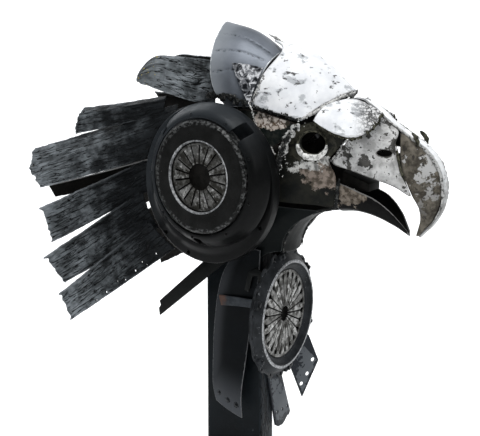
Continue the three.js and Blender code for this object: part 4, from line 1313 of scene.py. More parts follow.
# ---- Hood ------------------------------------------------------------------------------------
# The hood is one sheet rolled over the back of the head, sprayed blue-grey. Its rear edge is
# ground bright, and three creases run down its sides where it was bent in steps.

HEAD_MIDDLE = (120, 0, 210)


def both_sides(half):
    """A row of points from one side of the head over the middle to the other."""
    return [*half, *other_side(half[:-1][::-1])]


def hood_paint():
    """Smooth blue-grey, paler to the rear, darker in dashes along the creases, partly grit and partly painted
    shade.
    """
    material, tree, shader, place = finish("hood_paint", 0.34, 0.3)
    cloud = blotches(tree, place, 0.08, 0.5, 0.25)
    mark = node(tree, "Attribute", attribute_name="mark").outputs["Fac"]
    lie, edge = edge_of(tree)
    colour = over(tree, (0.085, 0.095, 0.11), (0.15, 0.165, 0.19), cloud)
    rear = ranged(tree, node(tree, "SeparateXYZ", {0: lie}).outputs[0], 0.05, 0.0)
    colour = over(tree, colour, (0.27, 0.29, 0.31), scaled(tree, rear, 0.6))
    # The crease lines are dark dashes: grit in the creases and partly painted shade of the bends.
    grit = blotches(tree, place, 0.008, 0.55, 0.1)
    line = scaled(tree, mark, scaled(tree, grit, 1.2), clamp=True)
    colour = over(tree, colour, (0.012, 0.014, 0.017), line)
    rubbed = worn_edge(tree, edge, place, 2.2 * MM, 0.01)
    colour = over(tree, colour, (0.5, 0.52, 0.54), scaled(tree, rubbed, 0.75))
    scuffs = use(tree, SCRATCHES, Vector=place, Size=0.02, Amount=0.1)["Mask"]
    colour = over(tree, colour, (0.3, 0.31, 0.33), scaled(tree, scuffs, 0.5))
    tree.links.new(colour, shader["Base Color"])
    tree.links.new(ranged(tree, cloud, 0.0, 1.0, 0.28, 0.42), shader["Roughness"])
    raised(tree, shader, speckle(tree, place, 0.015), 0.3 * MM)
    return material


HOOD_PAINT = hood_paint()
hood_rows = [
    both_sides([[12, -80, 250], [-10, -90, 281], [-20, -92, 322], [-25, -77, 363], [-30, -45, 400],
                [-32, 0, 427]]),
    both_sides([[45, -82, 251], [36, -88, 274], [34, -87, 308], [37, -76, 347], [40, -45, 388],
                [40, 0, 406]]),
    both_sides([[76, -81, 252], [80, -79, 270], [86, -73, 300], [96, -60, 330], [104, -38, 352],
                [106, 0, 362]]),
]
grid = ragged(loft(hood_rows, 150, 50), (0.8, 0.8), (0.8, 0.8), 12, 3)
share = np.linspace(0, 1, grid.shape[1])[None, :] * np.ones(grid.shape[:2])
front = np.linspace(0, 1, grid.shape[0])[:, None] * np.ones(grid.shape[:2])
creases = np.zeros(grid.shape[:2])
for spot, lean in ((0.2, 0.05), (0.3, 0.035), (0.39, 0.0)):
    for centre in (spot, 1 - spot):
        way = 1 if centre < 0.5 else -1
        creases += np.exp(-((share - centre - way * lean * (front - 0.5)) / 0.0055)**2)
creases *= np.clip(2.2 * np.sin(front * math.pi), 0, 1)
hood = sheet("hood_visual", grid, HEAD_MIDDLE, [HOOD_PAINT, INNER],
             relief=0.5 * noise(grid, 55, 3) - 1.1 * creases, mark=creases, bevel=1.2 * MM)
stands_for(hood, "hood_paint", "hood")


# ---- Crown and brows -------------------------------------------------------------------------
# A domed plate covers the skull and two hooded ones jut over the eyes. They were painted white
# over primer and then knocked about, so grey flecks and scratches show, most near the seams.

def white_paint(name, flake_level, grime, crazed_from=1.0):
    """Chalky white paint with grey flecks, scratches and a dirty edge. It has crazed and gone
    grey from crazed_from metres along the plate."""
    material, tree, shader, place = finish(name, 0.5)
    cloud = blotches(tree, place, 0.045, 0.5, 0.2)
    colour = over(tree, (0.56, 0.575, 0.6), (0.72, 0.73, 0.74), cloud)
    lie, edge = edge_of(tree)
    dirty = worn_edge(tree, edge, place, 2.4 * MM, 0.01)
    colour = over(tree, colour, (0.3, 0.305, 0.31), scaled(tree, dirty, grime))
    long = node(tree, "VectorMath", {0: place, 1: (0.75, 1.0, 1.25)}, operation="MULTIPLY").outputs[0]
    thin = blotches(tree, long, 0.026, flake_level, 0.03)
    colour = over(tree, colour, (0.3, 0.315, 0.33), scaled(tree, thin, 0.8))
    deep = blotches(tree, long, 0.013, flake_level + 0.035, 0.012)
    colour = over(tree, colour, (0.085, 0.085, 0.085), deep)
    scuffs = use(tree, SCRATCHES, Vector=place, Size=0.016, Amount=0.36)["Mask"]
    colour = over(tree, colour, (0.2, 0.205, 0.21), scaled(tree, scuffs, 0.75))
    far = ranged(tree, node(tree, "SeparateXYZ", {0: lie}).outputs[0], crazed_from,
                 crazed_from + 0.05)
    crazing = use(tree, CRACKLE, Vector=place, Size=0.0085, Width=0.24, Warp=1.6)["Mask"]
    mottled = over(tree, (0.5, 0.5, 0.5), (0.2, 0.2, 0.2), thin)
    mottled = over(tree, mottled, (0.03, 0.03, 0.03), crazing)
    colour = over(tree, colour, mottled, far)
    tree.links.new(colour, shader["Base Color"])
    tree.links.new(ranged(tree, thin, 0.0, 1.0, 0.42, 0.6), shader["Roughness"])
    height = sum_of(tree, speckle(tree, place, 0.01),
                    scaled(tree, sum_of(tree, deep, scuffs), -0.7))
    raised(tree, shader, height, 0.45 * MM)
    return material


CROWN_PAINT = white_paint("crown_paint", 0.585, 0.5)
BROW_PAINT = white_paint("brow_paint", 0.6, 0.5, 0.0744)
crown_rows = [
    both_sides([[79, -88, 255], [98, -81, 316], [126, -50, 365], [112, -20, 380], [84, 0, 389]]),
    both_sides([[108, -91, 249], [128, -84, 306], [152, -52, 352], [156, -22, 366], [158, 0, 369]]),
    both_sides([[152, -91, 239], [172, -81, 283], [188, -50, 328], [195, -22, 345], [198, 0, 350]]),
    both_sides([[193, -88, 230], [220, -60, 256], [243, -35, 272], [262, -15, 283], [274, 0, 288]]),
]
grid = ragged(loft(crown_rows, 108, 70), (1.5, 1.5), (1.5, 1.5), 9, 6)
crown = sheet("crown_visual", grid, HEAD_MIDDLE, [CROWN_PAINT, INNER],
              relief=0.9 * noise(grid, 30, 11) + 0.3 * noise(grid, 8, 12), bevel=1.0 * MM)
stands_for(crown, "white_paint", "crown")

brow_rows = [
    [[219, -87, 231], [221, -85, 235], [222, -83, 239]],
    [[242, -93, 219], [238, -84, 241], [235, -64, 260]],
    [[278, -96, 206], [267, -78, 242], [259, -30, 272]],
    [[311, -86, 202], [300, -62, 240], [282, -18, 272]],
    [[333, -62, 216], [327, -42, 240], [313, -17, 261]],
    [[345, -30, 240], [344, -24, 243], [342, -17, 246]],
]
for side, sign in (("right", 1), ("left", -1)):
    rows = brow_rows if sign > 0 else [other_side(row) for row in brow_rows]
    grid = ragged(loft(rows, 44, 74), (1, 1), (1.4, 1.2), 9, 14 + sign)
    brow = sheet(f"brow_{side}_visual", grid, HEAD_MIDDLE, [BROW_PAINT, INNER],
                 relief=0.8 * noise(grid, 26, 15) + 0.25 * noise(grid, 7, 16), bevel=1.2 * MM)
    stands_for(brow, "white_paint", f"brow_{side}")
    seam = [[190, -89, 232], [214, -74, 245], [236, -52, 262], [254, -28, 276], [272, -10, 284]]
    seam = seam if sign > 0 else other_side(seam)
    stands_for(bead(f"crown_seam_{side}", seam, 4.2, WELD, 21 + sign), "weld_metal")
    stands_for(drops(f"crown_seam_drops_{side}", seam, 5.5, 64, 2.7, WELD, 22 + sign), "weld_metal")
    under = [[224, -84, 227], [244, -88, 217], [278, -90, 205], [309, -81, 202], [331, -60, 214],
             [344, -31, 238]]
    under = under if sign > 0 else other_side(under)
    stands_for(drops(f"brow_drops_{side}", under, 6.0, 130, 3.4, OLIVE_WELD, 24 + sign), "weld_metal")


spur = bead("crown_spur", [[126, 0, 366], [98, 1, 386], [68, 2, 400]], 2.6, WELD, 81)
stands_for(spur, "weld_metal")


# ---- Gussets and temples ---------------------------------------------------------------------
# Three-cornered gussets close the gap between hood and crown, their black coat crazed over white.
# The temples are scraps of an old cream panel with rust runs, cut ragged and tacked on.

def crazed_coat():
    """Black coat that has split into flakes and shows white between them."""
    material, tree, shader, place = finish("crazed_coat", 0.5)
    cloud = blotches(tree, place, 0.014, 0.5, 0.05)
    lines = use(tree, CRACKLE, Vector=place, Size=0.014, Width=0.26, Warp=1.5)["Mask"]
    colour = over(tree, (0.006, 0.007, 0.009), (0.035, 0.037, 0.042), cloud)
    light = over(tree, (0.12, 0.125, 0.135), (0.52, 0.53, 0.55), cloud)
    colour = over(tree, colour, light, lines)
    tree.links.new(colour, shader["Base Color"])
    raised(tree, shader, scaled(tree, lines, -1.0), 0.8 * MM)
    return material


def patch(tree, place, centre, reach, breakup, size):
    """1 inside an uneven patch of paint round a point, given in millimetres from the datum."""
    away = node(tree, "VectorMath", {0: place, 1: tuple(from_datum(centre))},
                operation="SUBTRACT").outputs[0]
    shares = tuple(1 / (r * MM) for r in reach)
    share = node(tree, "VectorMath", {0: away, 1: shares}, operation="MULTIPLY").outputs[0]
    distance = node(tree, "VectorMath", {0: share}, operation="LENGTH").outputs["Value"]
    cloud = sum_of(tree, speckle(tree, place, size, 6.0, 0.7), 0.5, "SUBTRACT")
    return ranged(tree, sum_of(tree, distance, scaled(tree, cloud, breakup)), 1.06, 0.94)


def cream_rust(sign):
    """A patch of cream enamel left on dark steel, with rust in running lines and a red stain."""
    material, tree, shader, place = finish(f"cream_rust_{'right' if sign > 0 else 'left'}", 0.6)
    cloud = blotches(tree, place, 0.02, 0.5, 0.1)
    colour = over(tree, (0.44, 0.38, 0.33), (0.68, 0.62, 0.57), cloud)
    lines = use(tree, CRACKLE, Vector=place, Size=0.02, Width=0.085, Warp=1.9)["Mask"]
    colour = over(tree, colour, (0.075, 0.042, 0.02), lines)
    brown = blotches(tree, place, 0.024, 0.6, 0.05)
    colour = over(tree, colour, (0.055, 0.047, 0.036), brown)
    teal = over(tree, (0.006, 0.009, 0.0085), (0.022, 0.024, 0.021), cloud)
    kept_cream = patch(tree, place, (124, -82 * sign, 227), (44, 60, 20), 1.3, 0.016)
    colour = over(tree, teal, colour, kept_cream)
    edge = edge_of(tree)[1]
    burnt = worn_edge(tree, edge, place, 1.6 * MM, 0.008)
    colour = over(tree, colour, (0.045, 0.034, 0.028), burnt)
    red = blotches(tree, place, 0.012, 0.71, 0.03)
    colour = over(tree, colour, (0.16, 0.02, 0.02), red)
    tree.links.new(colour, shader["Base Color"])
    height = sum_of(tree, speckle(tree, place, 0.006), scaled(tree, lines, -0.8))
    raised(tree, shader, height, 0.6 * MM)
    return material


CRAZED = crazed_coat()
gusset_rows = [
    [[28, -86, 343], [66, -82, 340], [100, -76, 333]],
    [[48, -93, 304], [70, -92, 302], [88, -88, 298]],
    [[70, -93, 264], [73, -93, 263], [77, -92.5, 262]],
]
temple_rows = [
    [[14, -76, 244], [75, -79, 246], [130, -82, 236], [180, -81, 222]],
    [[40, -77, 220], [90, -82, 213], [130, -83, 207], [164, -82, 202]],
    [[62, -77, 192], [100, -82, 171], [126, -83, 170], [146, -82, 186]],
]
for side, sign in (("right", 1), ("left", -1)):
    place = (lambda points: points) if sign > 0 else other_side
    grid = ragged(loft([place(row) for row in gusset_rows], 36, 44), (1.5, 1), (2, 2), 7, 31)
    gusset = sheet(f"gusset_{side}_visual", grid, HEAD_MIDDLE, [CRAZED, INNER], 3 * MM,
                   0.5 * noise(grid, 9, 32))
    stands_for(gusset, "crackle_paint", f"gusset_{side}")
    grid = ragged(loft([place(row) for row in temple_rows], 76, 40), (1.5, 5), (2, 2), 8, 33)
    temple = sheet(f"temple_{side}_visual", grid, HEAD_MIDDLE, [cream_rust(sign), INNER], SHEET,
                   0.7 * noise(grid, 18, 34))
    stands_for(temple, "rust", f"temple_{side}")
    joint = place([[78, -91, 258], [92, -88, 290], [104, -81, 318]])
    stands_for(drops(f"gusset_drops_{side}", joint, 4.5, 34, 2.4, WELD, 35 + sign), "weld_metal")
    joint = place([[-30, -84, 270], [0, -88, 274], [34, -91, 268], [66, -93, 258]])
    stands_for(drops(f"hood_drops_{side}", joint, 9.0, 150, 4.2, DARK_WELD, 66 + sign), "weld_metal")
    joint = place([[84, -93, 256], [120, -92, 246], [158, -93, 238], [188, -92, 230]])
    stands_for(drops(f"temple_drops_{side}", joint, 5.5, 44, 2.6, DARK_WELD, 37 + sign),
               "weld_metal")
    joint = place([[74, -93, 262], [82, -92, 244], [88, -91, 224], [98, -91, 206], [106, -90, 196]])
    stands_for(drops(f"temple_edge_drops_{side}", joint, 2.6, 32, 2.0, BRIGHT_WELD, 39 + sign),
               "weld_metal")


# ---- Cheeks, eyes and weld ribs --------------------------------------------------------------
# The cheeks are dark sheet with a round hole for each eye, ringed with built-up weld that sags
# into a crescent below. The rim is bright below, where it faces up, as a painted highlight, and
# dark olive above, under the brow, as painted shade. A thick rib of weld runs down from the brow
# behind each eye.

EYE_CENTRE = (218, -82, 185)
EYE_LONG = 27.5
EYE_HIGH = 23


def pierced(outline, centre, half_length, half_height, slope, around, rings, bulge):
    """A grid from an oval hole's edge out to a closed outline."""
    loop = spline(outline, 360, closed=True)[:-1]
    wanted = np.linspace(0, 360, around, endpoint=False)
    edge = loop[np.round(wanted).astype(int) % len(loop)]
    edge = np.vstack([edge, edge[:1]])
    turn = np.arctan2(edge[:, 2] - centre[2], edge[:, 0] - centre[0])
    hole = np.stack([centre[0] + half_length * np.cos(turn),
                     centre[1] + slope * half_length * np.cos(turn),
                     centre[2] + half_height * np.sin(turn)], axis=1)
    out = np.linspace(0, 1, rings + 1)[:, None, None]
    grid = hole[None] * (1 - out) + edge[None] * out
    sign = -1 if centre[1] < 0 else 1
    grid[..., 1] += sign * bulge * (4 * out * (1 - out))[..., 0]
    return grid


def cheek_paint(sign):
    """Near-black olive primer, scraped to white below the eye and to bare brown by the jaw."""
    material, tree, shader, place = finish(f"cheek_paint_{'right' if sign > 0 else 'left'}", 0.5)
    cloud = blotches(tree, place, 0.03, 0.5, 0.15)
    colour = over(tree, (0.0042, 0.005, 0.0046), (0.0125, 0.0125, 0.0095), cloud)
    olive = patch(tree, place, (215, -80 * sign, 178), (52, 60, 50), 2.2, 0.03)
    colour = over(tree, colour, (0.05, 0.048, 0.036), scaled(tree, olive, cloud))
    brown = patch(tree, place, (228, -50 * sign, 118), (40, 70, 32), 2.6, 0.02)
    shade = blotches(tree, place, 0.012, 0.5, 0.1)
    colour = over(tree, colour, over(tree, (0.06, 0.048, 0.037), (0.2, 0.165, 0.14), shade), brown)
    for centre, reach in (((204, -80 * sign, 138), (28, 60, 10)), ((172, -84 * sign, 128), (11, 60, 6)),
                          ((238, -62 * sign, 148), (16, 60, 8))):
        white = patch(tree, place, centre, reach, 4.2, 0.009)
        colour = over(tree, colour, over(tree, (0.13, 0.13, 0.125), (0.5, 0.5, 0.48), shade), white)
    flecks = blotches(tree, place, 0.009, 0.71, 0.015)
    colour = over(tree, colour, (0.17, 0.17, 0.16), flecks)
    streaks = use(tree, SCRATCHES, Vector=place, Size=0.015, Amount=0.4)["Mask"]
    lower = patch(tree, place, (215, -50 * sign, 100), (60, 70, 26), 1.4, 0.02)
    colour = over(tree, colour, (0.24, 0.21, 0.18), scaled(tree, streaks, lower))
    tree.links.new(colour, shader["Base Color"])
    raised(tree, shader, sum_of(tree, speckle(tree, place, 0.006), sum_of(tree, flecks, 0.5)), 0.7 * MM)
    return material


cheek_outline = [
    [60, -76, 158], [110, -80, 162], [150, -83, 178], [170, -84, 205], [196, -82, 222],
    [228, -78, 229], [262, -69, 228], [282, -58, 214], [281, -55, 197], [259, -54, 171],
    [239, -51, 148], [250, -48, 122], [254, -47, 96], [249, -43, 62], [245, -42, 51],
    [210, -50, 53], [160, -61, 55], [108, -70, 58], [70, -73, 61], [55, -74, 100],
]
rib_line = [[190, -98, 222], [166, -98, 190], [150, -96, 152], [134, -93, 118], [118, -89, 80],
            [100, -83, 40]]
for side, sign in (("right", 1), ("left", -1)):
    place = (lambda points: points) if sign > 0 else other_side
    centre = (EYE_CENTRE[0], EYE_CENTRE[1] * sign, EYE_CENTRE[2])
    grid = pierced(place(cheek_outline), centre, EYE_LONG, EYE_HIGH, 0.2 * sign, 150, 40, 0)
    inside = (150, 0, 120)
    cheek = sheet(f"cheek_{side}_visual", grid, inside, [cheek_paint(sign), INNER], SHEET,
                  0.8 * noise(grid, 20, 41) + 0.35 * noise(grid, 6, 42), ring=True, bevel=0.6 * MM)
    stands_for(cheek, "neck_paint", f"cheek_{side}")

    bm = bmesh.new()
    bmesh.ops.create_grid(bm, x_segments=12, y_segments=72, size=0.5)
    for v in bm.verts:
        turn = (v.co.y + 0.5) * 2 * math.pi
        round_tube = (v.co.x + 0.5) * 2 * math.pi
        low = max(0.0, -math.sin(turn + 0.15))
        reach = 1.8 + 4.4 * low**0.8
        ring = 1.4 + 4.4 * low**0.8 + reach * math.cos(round_tube)
        along = (EYE_LONG + ring) * math.cos(turn)
        point = np.array([centre[0] + along,
                          sign * (-86 + 0.2 * along - 3.2 * math.sin(round_tube)),
                          centre[2] + (EYE_HIGH + ring) * math.sin(turn)])
        rough = 0.9 * float(noise(point, 7, 44)) + 0.7 * float(noise(point, 3, 45))
        point[1] -= sign * rough * (0.4 + low)
        point[2] -= max(0.0, float(noise(point * (1, 0, 0), 5, 46))) * 5 * low**2
        v.co = from_datum(point)
    bmesh.ops.remove_doubles(bm, verts=bm.verts, dist=1e-6)
    bmesh.ops.recalc_face_normals(bm, faces=bm.faces)
    # Painted light: faces below the middle take bright weld metal as a painted highlight, those above take
    # dark olive weld as painted shade under the brow.
    upper = from_datum(centre).z - 2 * MM
    for face in bm.faces:
        face.material_index = int(face.calc_center_median().z > upper)
    rim = kept(f"eye_rim_{side}_visual", bm, BRIGHT_WELD, OLIVE_WELD)
    stands_for(rim, "weld_metal", f"eye_rim_{side}")

    line = place(rib_line)
    stands_for(bead(f"weld_rib_{side}_visual", line, 6.5, DARK_WELD, 50 + sign, 5.5), "weld_metal",
               f"weld_rib_{side}")
    upper = line[:3]
    stands_for(drops(f"rib_drops_upper_{side}", upper, 12, 210, 3.9, WELD, 52 + sign), "weld_metal")
    lower = line[2:]
    stands_for(drops(f"rib_drops_lower_{side}", lower, 6.5, 90, 2.7, DARK_WELD, 54 + sign),
               "weld_metal")
    spatter = place([[200, -90, 232], [176, -97, 200], [160, -97, 170], [150, -96, 140], [142, -93, 108]])
    stands_for(drops(f"spatter_{side}", spatter, 14, 46, 1.3, BRIGHT_WELD, 56 + sign), "weld_metal")
    tear_drop = place([[132, -88, 158], [124, -88, 168], [118, -87, 176]])
    stands_for(drops(f"tack_{side}", tear_drop, 3.0, 12, 2.8, BRIGHT_WELD, 58 + sign), "weld_metal")


# ---- Beak ------------------------------------------------------------------------------------
# The beak is a white ridge strip with a grey side plate and a hooked tip on each side of it, all
# welded. The lower beak is a bent trough, and a block shuts the mouth's rear.

BEAK_MIDDLE = (340, 0, 120)
NOSTRIL_CENTRE = (354, -38, 168)
NOSTRIL_HALF = (15, 7)


def ridge_paint():
    """Bright white ridge, worn to grey in blots towards the hook and along both edges, and darker overall
    towards the bottom.
    """
    material, tree, shader, place = finish("ridge_paint", 0.45)
    cloud = blotches(tree, place, 0.03, 0.5, 0.15)
    colour = over(tree, (0.62, 0.63, 0.64), (0.84, 0.85, 0.86), cloud)
    down = ranged(tree, node(tree, "SeparateXYZ", {0: place}).outputs[2], LEVEL + 0.2, LEVEL + 0.02)
    grey = blotches(tree, place, 0.02, 0.54, 0.05)
    colour = over(tree, colour, (0.24, 0.235, 0.22), scaled(tree, grey, down))
    # A smooth ramp darkens the whole ridge towards the bottom.
    colour = over(tree, colour, (0.24, 0.24, 0.23), scaled(tree, down, 0.7))
    deep = blotches(tree, place, 0.014, 0.66, 0.02)
    colour = over(tree, colour, (0.1, 0.1, 0.1), deep)
    edge = edge_of(tree)[1]
    dirty = worn_edge(tree, edge, place, 2.2 * MM, 0.008)
    colour = over(tree, colour, (0.2, 0.2, 0.2), scaled(tree, dirty, 0.6))
    tree.links.new(colour, shader["Base Color"])
    raised(tree, shader, sum_of(tree, speckle(tree, place, 0.006), deep, "SUBTRACT"), 0.6 * MM)
    return material


def cere_paint():
    """Pale grey on the beak's side, flaked away in large charcoal patches."""
    material, tree, shader, place = finish("cere_paint", 0.5)
    cloud = blotches(tree, place, 0.02, 0.5, 0.15)
    colour = over(tree, (0.25, 0.25, 0.245), (0.5, 0.5, 0.495), cloud)
    patches = blotches(tree, place, 0.032, 0.545, 0.014)
    charcoal = over(tree, (0.02, 0.02, 0.019), (0.075, 0.073, 0.068), cloud)
    colour = over(tree, colour, charcoal, patches)
    small = blotches(tree, place, 0.01, 0.62, 0.015)
    colour = over(tree, colour, (0.055, 0.053, 0.05), small)
    edge = edge_of(tree)[1]
    burnt = worn_edge(tree, edge, place, 2.4 * MM, 0.008)
    colour = over(tree, colour, (0.05, 0.048, 0.043), scaled(tree, burnt, 0.8))
    tree.links.new(colour, shader["Base Color"])
    height = sum_of(tree, speckle(tree, place, 0.006),
                    scaled(tree, sum_of(tree, patches, small), -0.8))
    raised(tree, shader, height, 0.6 * MM)
    return material


def hook_paint():
    """Brown-grey hook, its pale paint left in patches."""
    material, tree, shader, place = finish("hook_paint", 0.5, 0.1)
    cloud = blotches(tree, place, 0.018, 0.5, 0.15)
    colour = over(tree, (0.035, 0.031, 0.025), (0.12, 0.108, 0.088), cloud)
    pale = blotches(tree, place, 0.03, 0.55, 0.02)
    high = ranged(tree, node(tree, "SeparateXYZ", {0: place}).outputs[2], LEVEL + 0.02, LEVEL + 0.14)
    keep = scaled(tree, pale, high)
    colour = over(tree, colour, (0.34, 0.34, 0.335), keep)
    small = blotches(tree, place, 0.011, 0.6, 0.02)
    colour = over(tree, colour, (0.035, 0.032, 0.028), small)
    edge = edge_of(tree)[1]
    burnt = worn_edge(tree, edge, place, 1.8 * MM, 0.008)
    colour = over(tree, colour, (0.03, 0.028, 0.025), scaled(tree, burnt, 0.7))
    tree.links.new(colour, shader["Base Color"])
    height = sum_of(tree, speckle(tree, place, 0.006), scaled(tree, keep, 0.6))
    raised(tree, shader, height, 0.6 * MM)
    return material


def jaw_paint():
    """Black jaw with a thin rubbed lip, scraped to bare brown streaks at its rear."""
    material, tree, shader, place = finish("jaw_paint", 0.45)
    cloud = blotches(tree, place, 0.03, 0.5, 0.15)
    colour = over(tree, (0.0015, 0.0015, 0.0015), (0.004, 0.004, 0.0038), cloud)
    both = node(tree, "VectorMath", {0: place}, operation="ABSOLUTE").outputs[0]
    drawn = node(tree, "VectorMath", {0: both, 1: (1, -1, 1)}, operation="MULTIPLY").outputs[0]
    rear = patch(tree, drawn, (276, -44, 84), (40, 60, 26), 2.4, 0.018)
    shade = blotches(tree, place, 0.011, 0.5, 0.1)
    colour = over(tree, colour, over(tree, (0.05, 0.04, 0.03), (0.17, 0.145, 0.12), shade), rear)
    edge = edge_of(tree)[1]
    lip = worn_edge(tree, edge, place, 1.2 * MM, 0.01)
    colour = over(tree, colour, (0.16, 0.16, 0.155), scaled(tree, lip, 0.8))
    tree.links.new(colour, shader["Base Color"])
    raised(tree, shader, speckle(tree, place, 0.008), 0.5 * MM)
    return material


RIDGE = ridge_paint()
CERE = cere_paint()
HOOK = hook_paint()
JAW = jaw_paint()

culmen_line = [(300, 14, 276), (331, 15, 254), (366, 15, 226), (408, 15, 199), (441, 15, 176),
               (465, 14, 140), (474, 13, 98), (470, 10, 62), (451, 6, 28), (420, 2.5, -3)]
culmen_rows = []
for k, (x, half, z) in enumerate(culmen_line):
    before = culmen_line[max(k - 1, 0)]
    after = culmen_line[min(k + 1, len(culmen_line) - 1)]
    run = np.array([after[0] - before[0], after[2] - before[2]], float)
    run /= np.linalg.norm(run)
    low = (x + run[1] * 3, z - run[0] * 3)
    culmen_rows.append([[low[0], -half, low[1]], [x, 0, z], [low[0], half, low[1]]])
grid = ragged(loft(culmen_rows, 18, 190), (0, 0), (0.8, 0.8), 6, 60)
culmen = sheet("culmen_visual", grid, BEAK_MIDDLE, [RIDGE, INNER], SHEET,
               0.5 * noise(grid, 16, 61) + 0.25 * noise(grid, 5, 62))
stands_for(culmen, "white_paint", "culmen")

cere_outline = [
    [246, -51, 143], [264, -54, 168], [286, -56, 196], [306, -48, 217], [326, -34, 234],
    [343, -16, 236], [360, -14, 223], [374, -15, 211], [372, -23, 184], [388, -33, 132],
    [410, -34, 85], [378, -38, 101], [326, -42, 117], [283, -46, 130],
]
hook_rows = [
    [[379, -18, 208], [388, -18, 206], [396, -14, 200]],
    [[383, -27, 165], [408, -29, 176], [430, -14, 178]],
    [[392, -34, 131], [428, -32, 138], [456, -13, 144]],
    [[413, -34, 85], [443, -28, 98], [466, -12, 105]],
    [[425, -27, 60], [445, -22, 66], [462, -10, 68]],
    [[425, -17, 36], [436, -14, 37], [447, -6, 36]],
    [[413, -5, 0], [416, -4, 0], [419, -2.5, 1]],
]
for side, sign in (("right", 1), ("left", -1)):
    place = (lambda points: points) if sign > 0 else other_side
    centre = (NOSTRIL_CENTRE[0], NOSTRIL_CENTRE[1] * sign, NOSTRIL_CENTRE[2])
    grid = pierced(place(cere_outline), centre, *NOSTRIL_HALF, 0.25 * sign, 140, 36, 5)
    cere = sheet(f"beak_side_{side}_visual", grid, BEAK_MIDDLE, [CERE, INNER], SHEET,
                 0.8 * noise(grid, 18, 63) + 0.3 * noise(grid, 6, 64), ring=True, bevel=0.8 * MM)
    stands_for(cere, "beak_paint", f"beak_side_{side}")
    grid = ragged(loft([place(row) for row in hook_rows], 40, 116), (0, 0), (0.8, 0), 8, 66)
    hook = sheet(f"beak_hook_{side}_visual", grid, BEAK_MIDDLE, [HOOK, INNER], SHEET,
                 0.7 * noise(grid, 16, 67) + 0.25 * noise(grid, 6, 68), bevel=0.8 * MM)
    stands_for(hook, "beak_paint", f"beak_hook_{side}")
    ridge_seam = place([[352, -15, 230], [374, -15.5, 217], [406, -16, 195], [437, -16, 171],
                        [460, -15, 139], [469, -13.5, 98], [465, -10.5, 63], [448, -6.5, 31]])
    stands_for(bead(f"ridge_seam_{side}", ridge_seam, 3.0, WELD, 70 + sign), "weld_metal")
    corner_seam = place([[262, -50, 112], [257, -48, 92], [255, -46, 70], [250, -42, 48]])
    stands_for(bead(f"mouth_seam_{side}", corner_seam, 4.6, DARK_WELD, 78 + sign), "weld_metal")
    side_seam = place([[374, -25, 184], [381, -31, 158], [390, -35, 131], [403, -36, 104]])
    stands_for(bead(f"hook_seam_{side}", side_seam, 3.0, OLIVE_WELD, 72 + sign), "weld_metal")
    notch_seam = place([[405, -22, 210], [416, -25, 198], [421, -27, 184]])
    stands_for(bead(f"nostril_seam_{side}", notch_seam, 4.4, OLIVE_WELD, 76 + sign), "weld_metal")
    jaw_seam = place([[244, -53, 146], [262, -56, 170], [282, -58, 196]])
    stands_for(drops(f"cere_drops_{side}", jaw_seam, 3.0, 26, 2.2, WELD, 74 + sign), "weld_metal")

lower_rows = [
    [[258, -46, 103], [254, -44, 72], [253, -36, 49], [254, 0, 38]],
    [[294, -44, 90], [291, -42, 66], [290, -34, 49], [291, 0, 41]],
    [[336, -38, 72], [334, -36, 54], [333, -27, 38], [334, 0, 31]],
    [[368, -26, 45], [368, -24, 34], [370, -16, 20], [372, 0, 13]],
    [[395, -7, 8], [395, -6.5, 5], [396, -4, 1], [397, 0, -2]],
]
grid = ragged(loft([both_sides(row) for row in lower_rows], 78, 84), (0, 0), (1.2, 1.2), 9, 76)
jaw = sheet("lower_beak_visual", grid, (310, 0, 110), [JAW, INNER], SHEET, 0.6 * noise(grid, 20, 77))
stands_for(jaw, "beak_paint", "lower_beak")

mouth_outline = [(258, 93), (318, 85), (318, 103), (258, 126)]
mouth = cut_plate("mouth_block_visual", mouth_outline, 56 * MM, upright_plane(28), [INNER], bevel=3 * MM)
stands_for(mouth, "neck_paint", "mouth_block")


# ---- Floor, lights and camera ----------------------------------------------------------------
# A pale studio: a floor that curves up behind, one broad light overhead and to the front, a
# weaker one from the camera's side, and a rim light from behind for the feathers' top edges.

CAMERA_AZIMUTH = math.radians(30)
CAMERA_HEIGHT = math.radians(10)
CAMERA_DISTANCE = 2.493
TARGET = Vector((0, 0, 0.62))


def studio_paper():
    """Pale paper with the faintest mottling."""
    material, tree, shader, place = finish("studio_paper", 0.8)
    cloud = blotches(tree, place, 0.9, 0.5, 0.3)
    tone = over(tree, (0.9, 0.9, 0.9), (0.93, 0.93, 0.93), cloud)
    tree.links.new(tone, shader["Base Color"])
    tree.links.new(tone, shader["Emission Color"])
    shader["Emission Strength"].default_value = 0.5
    return material


bm = bmesh.new()
bmesh.ops.create_grid(bm, x_segments=2, y_segments=48, size=0.5)
for v in bm.verts:
    run = (v.co.y + 0.5) * 9 - 4
    bend = max(0.0, min(1.0, (run - 2.2) / 1.6))
    rise = 0.0 if run < 2.2 else 1.02 * (1 - math.cos(bend * math.pi / 2))
    reach = run if run < 2.2 else 2.2 + 1.02 * math.sin(bend * math.pi / 2)
    if run > 3.8:
        rise += run - 3.8 + 1.6
    v.co = (v.co.x * 12, reach, rise)
bmesh.ops.rotate(bm, cent=(0, 0, 0), matrix=Matrix.Rotation(CAMERA_AZIMUTH, 3, "Z"), verts=bm.verts)
bmesh.ops.recalc_face_normals(bm, faces=bm.faces)
floor = kept("floor", bm, studio_paper())


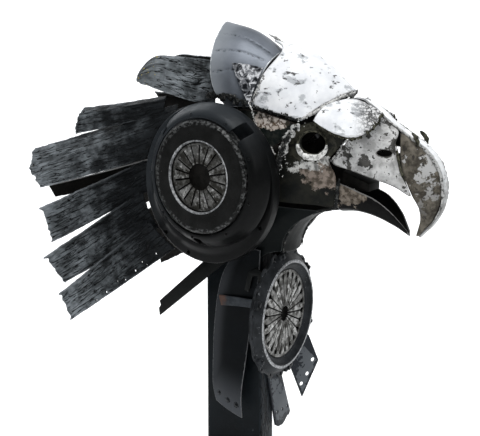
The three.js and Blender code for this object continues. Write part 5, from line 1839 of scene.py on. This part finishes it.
def light(name, place, power, size, colour, spread=180):
    """A square soft light that looks at the sculpture."""
    lamp = bpy.data.lights.new(name, "AREA")
    lamp.energy = power
    lamp.size = size
    lamp.color = colour
    lamp.spread = math.radians(spread)
    made = bpy.data.objects.new(name, lamp)
    made.location = place
    made.rotation_euler = (Vector(place) - Vector((0.05, 0, 0.7))).to_track_quat("Z", "Y").to_euler()
    bpy.context.scene.collection.objects.link(made)


light("overhead", (0.5, -0.9, 3.0), 66, 1.6, (1.0, 0.99, 0.98))
light("front", (2.6, -1.6, 1.9), 17, 1.2, (0.97, 0.98, 1.0))
light("rear_rim", (-2.0, 0.9, 2.4), 22, 1.4, (0.95, 0.98, 1.0))

world = bpy.data.worlds.new("studio")
bpy.context.scene.world = world
world.use_nodes = True
sky = world.node_tree
back = sky.nodes["Background"]
seen = node(sky, "LightPath").outputs["Is Camera Ray"]
tall = node(sky, "SeparateXYZ", {0: node(sky, "TexCoord").outputs["Generated"]}).outputs[2]
dome = ranged(sky, tall, -0.1, 0.9, 0.05, 0.55)
tone = node(sky, "Mix", {0: seen}, data_type="RGBA")
tone.inputs[6].default_value = (0.9, 0.95, 1.0, 1)
tone.inputs[7].default_value = (1, 1, 1, 1)
sky.links.new(tone.outputs[2], back.inputs["Color"])
power = node(sky, "Mix", {0: seen, 2: dome, 3: 1.0}, data_type="FLOAT")
sky.links.new(power.outputs[0], back.inputs["Strength"])

lens = bpy.data.cameras.new("camera")
lens.lens = 85
lens.sensor_width = 36
camera = bpy.data.objects.new("camera", lens)
back_way = Vector((math.sin(CAMERA_AZIMUTH) * math.cos(CAMERA_HEIGHT),
                   -math.cos(CAMERA_AZIMUTH) * math.cos(CAMERA_HEIGHT), math.sin(CAMERA_HEIGHT)))
camera.location = TARGET + back_way * CAMERA_DISTANCE
camera.rotation_euler = back_way.to_track_quat("Z", "Y").to_euler()
bpy.context.scene.collection.objects.link(camera)
bpy.context.scene.camera = camera
bpy.context.scene.view_settings.view_transform = "Standard"
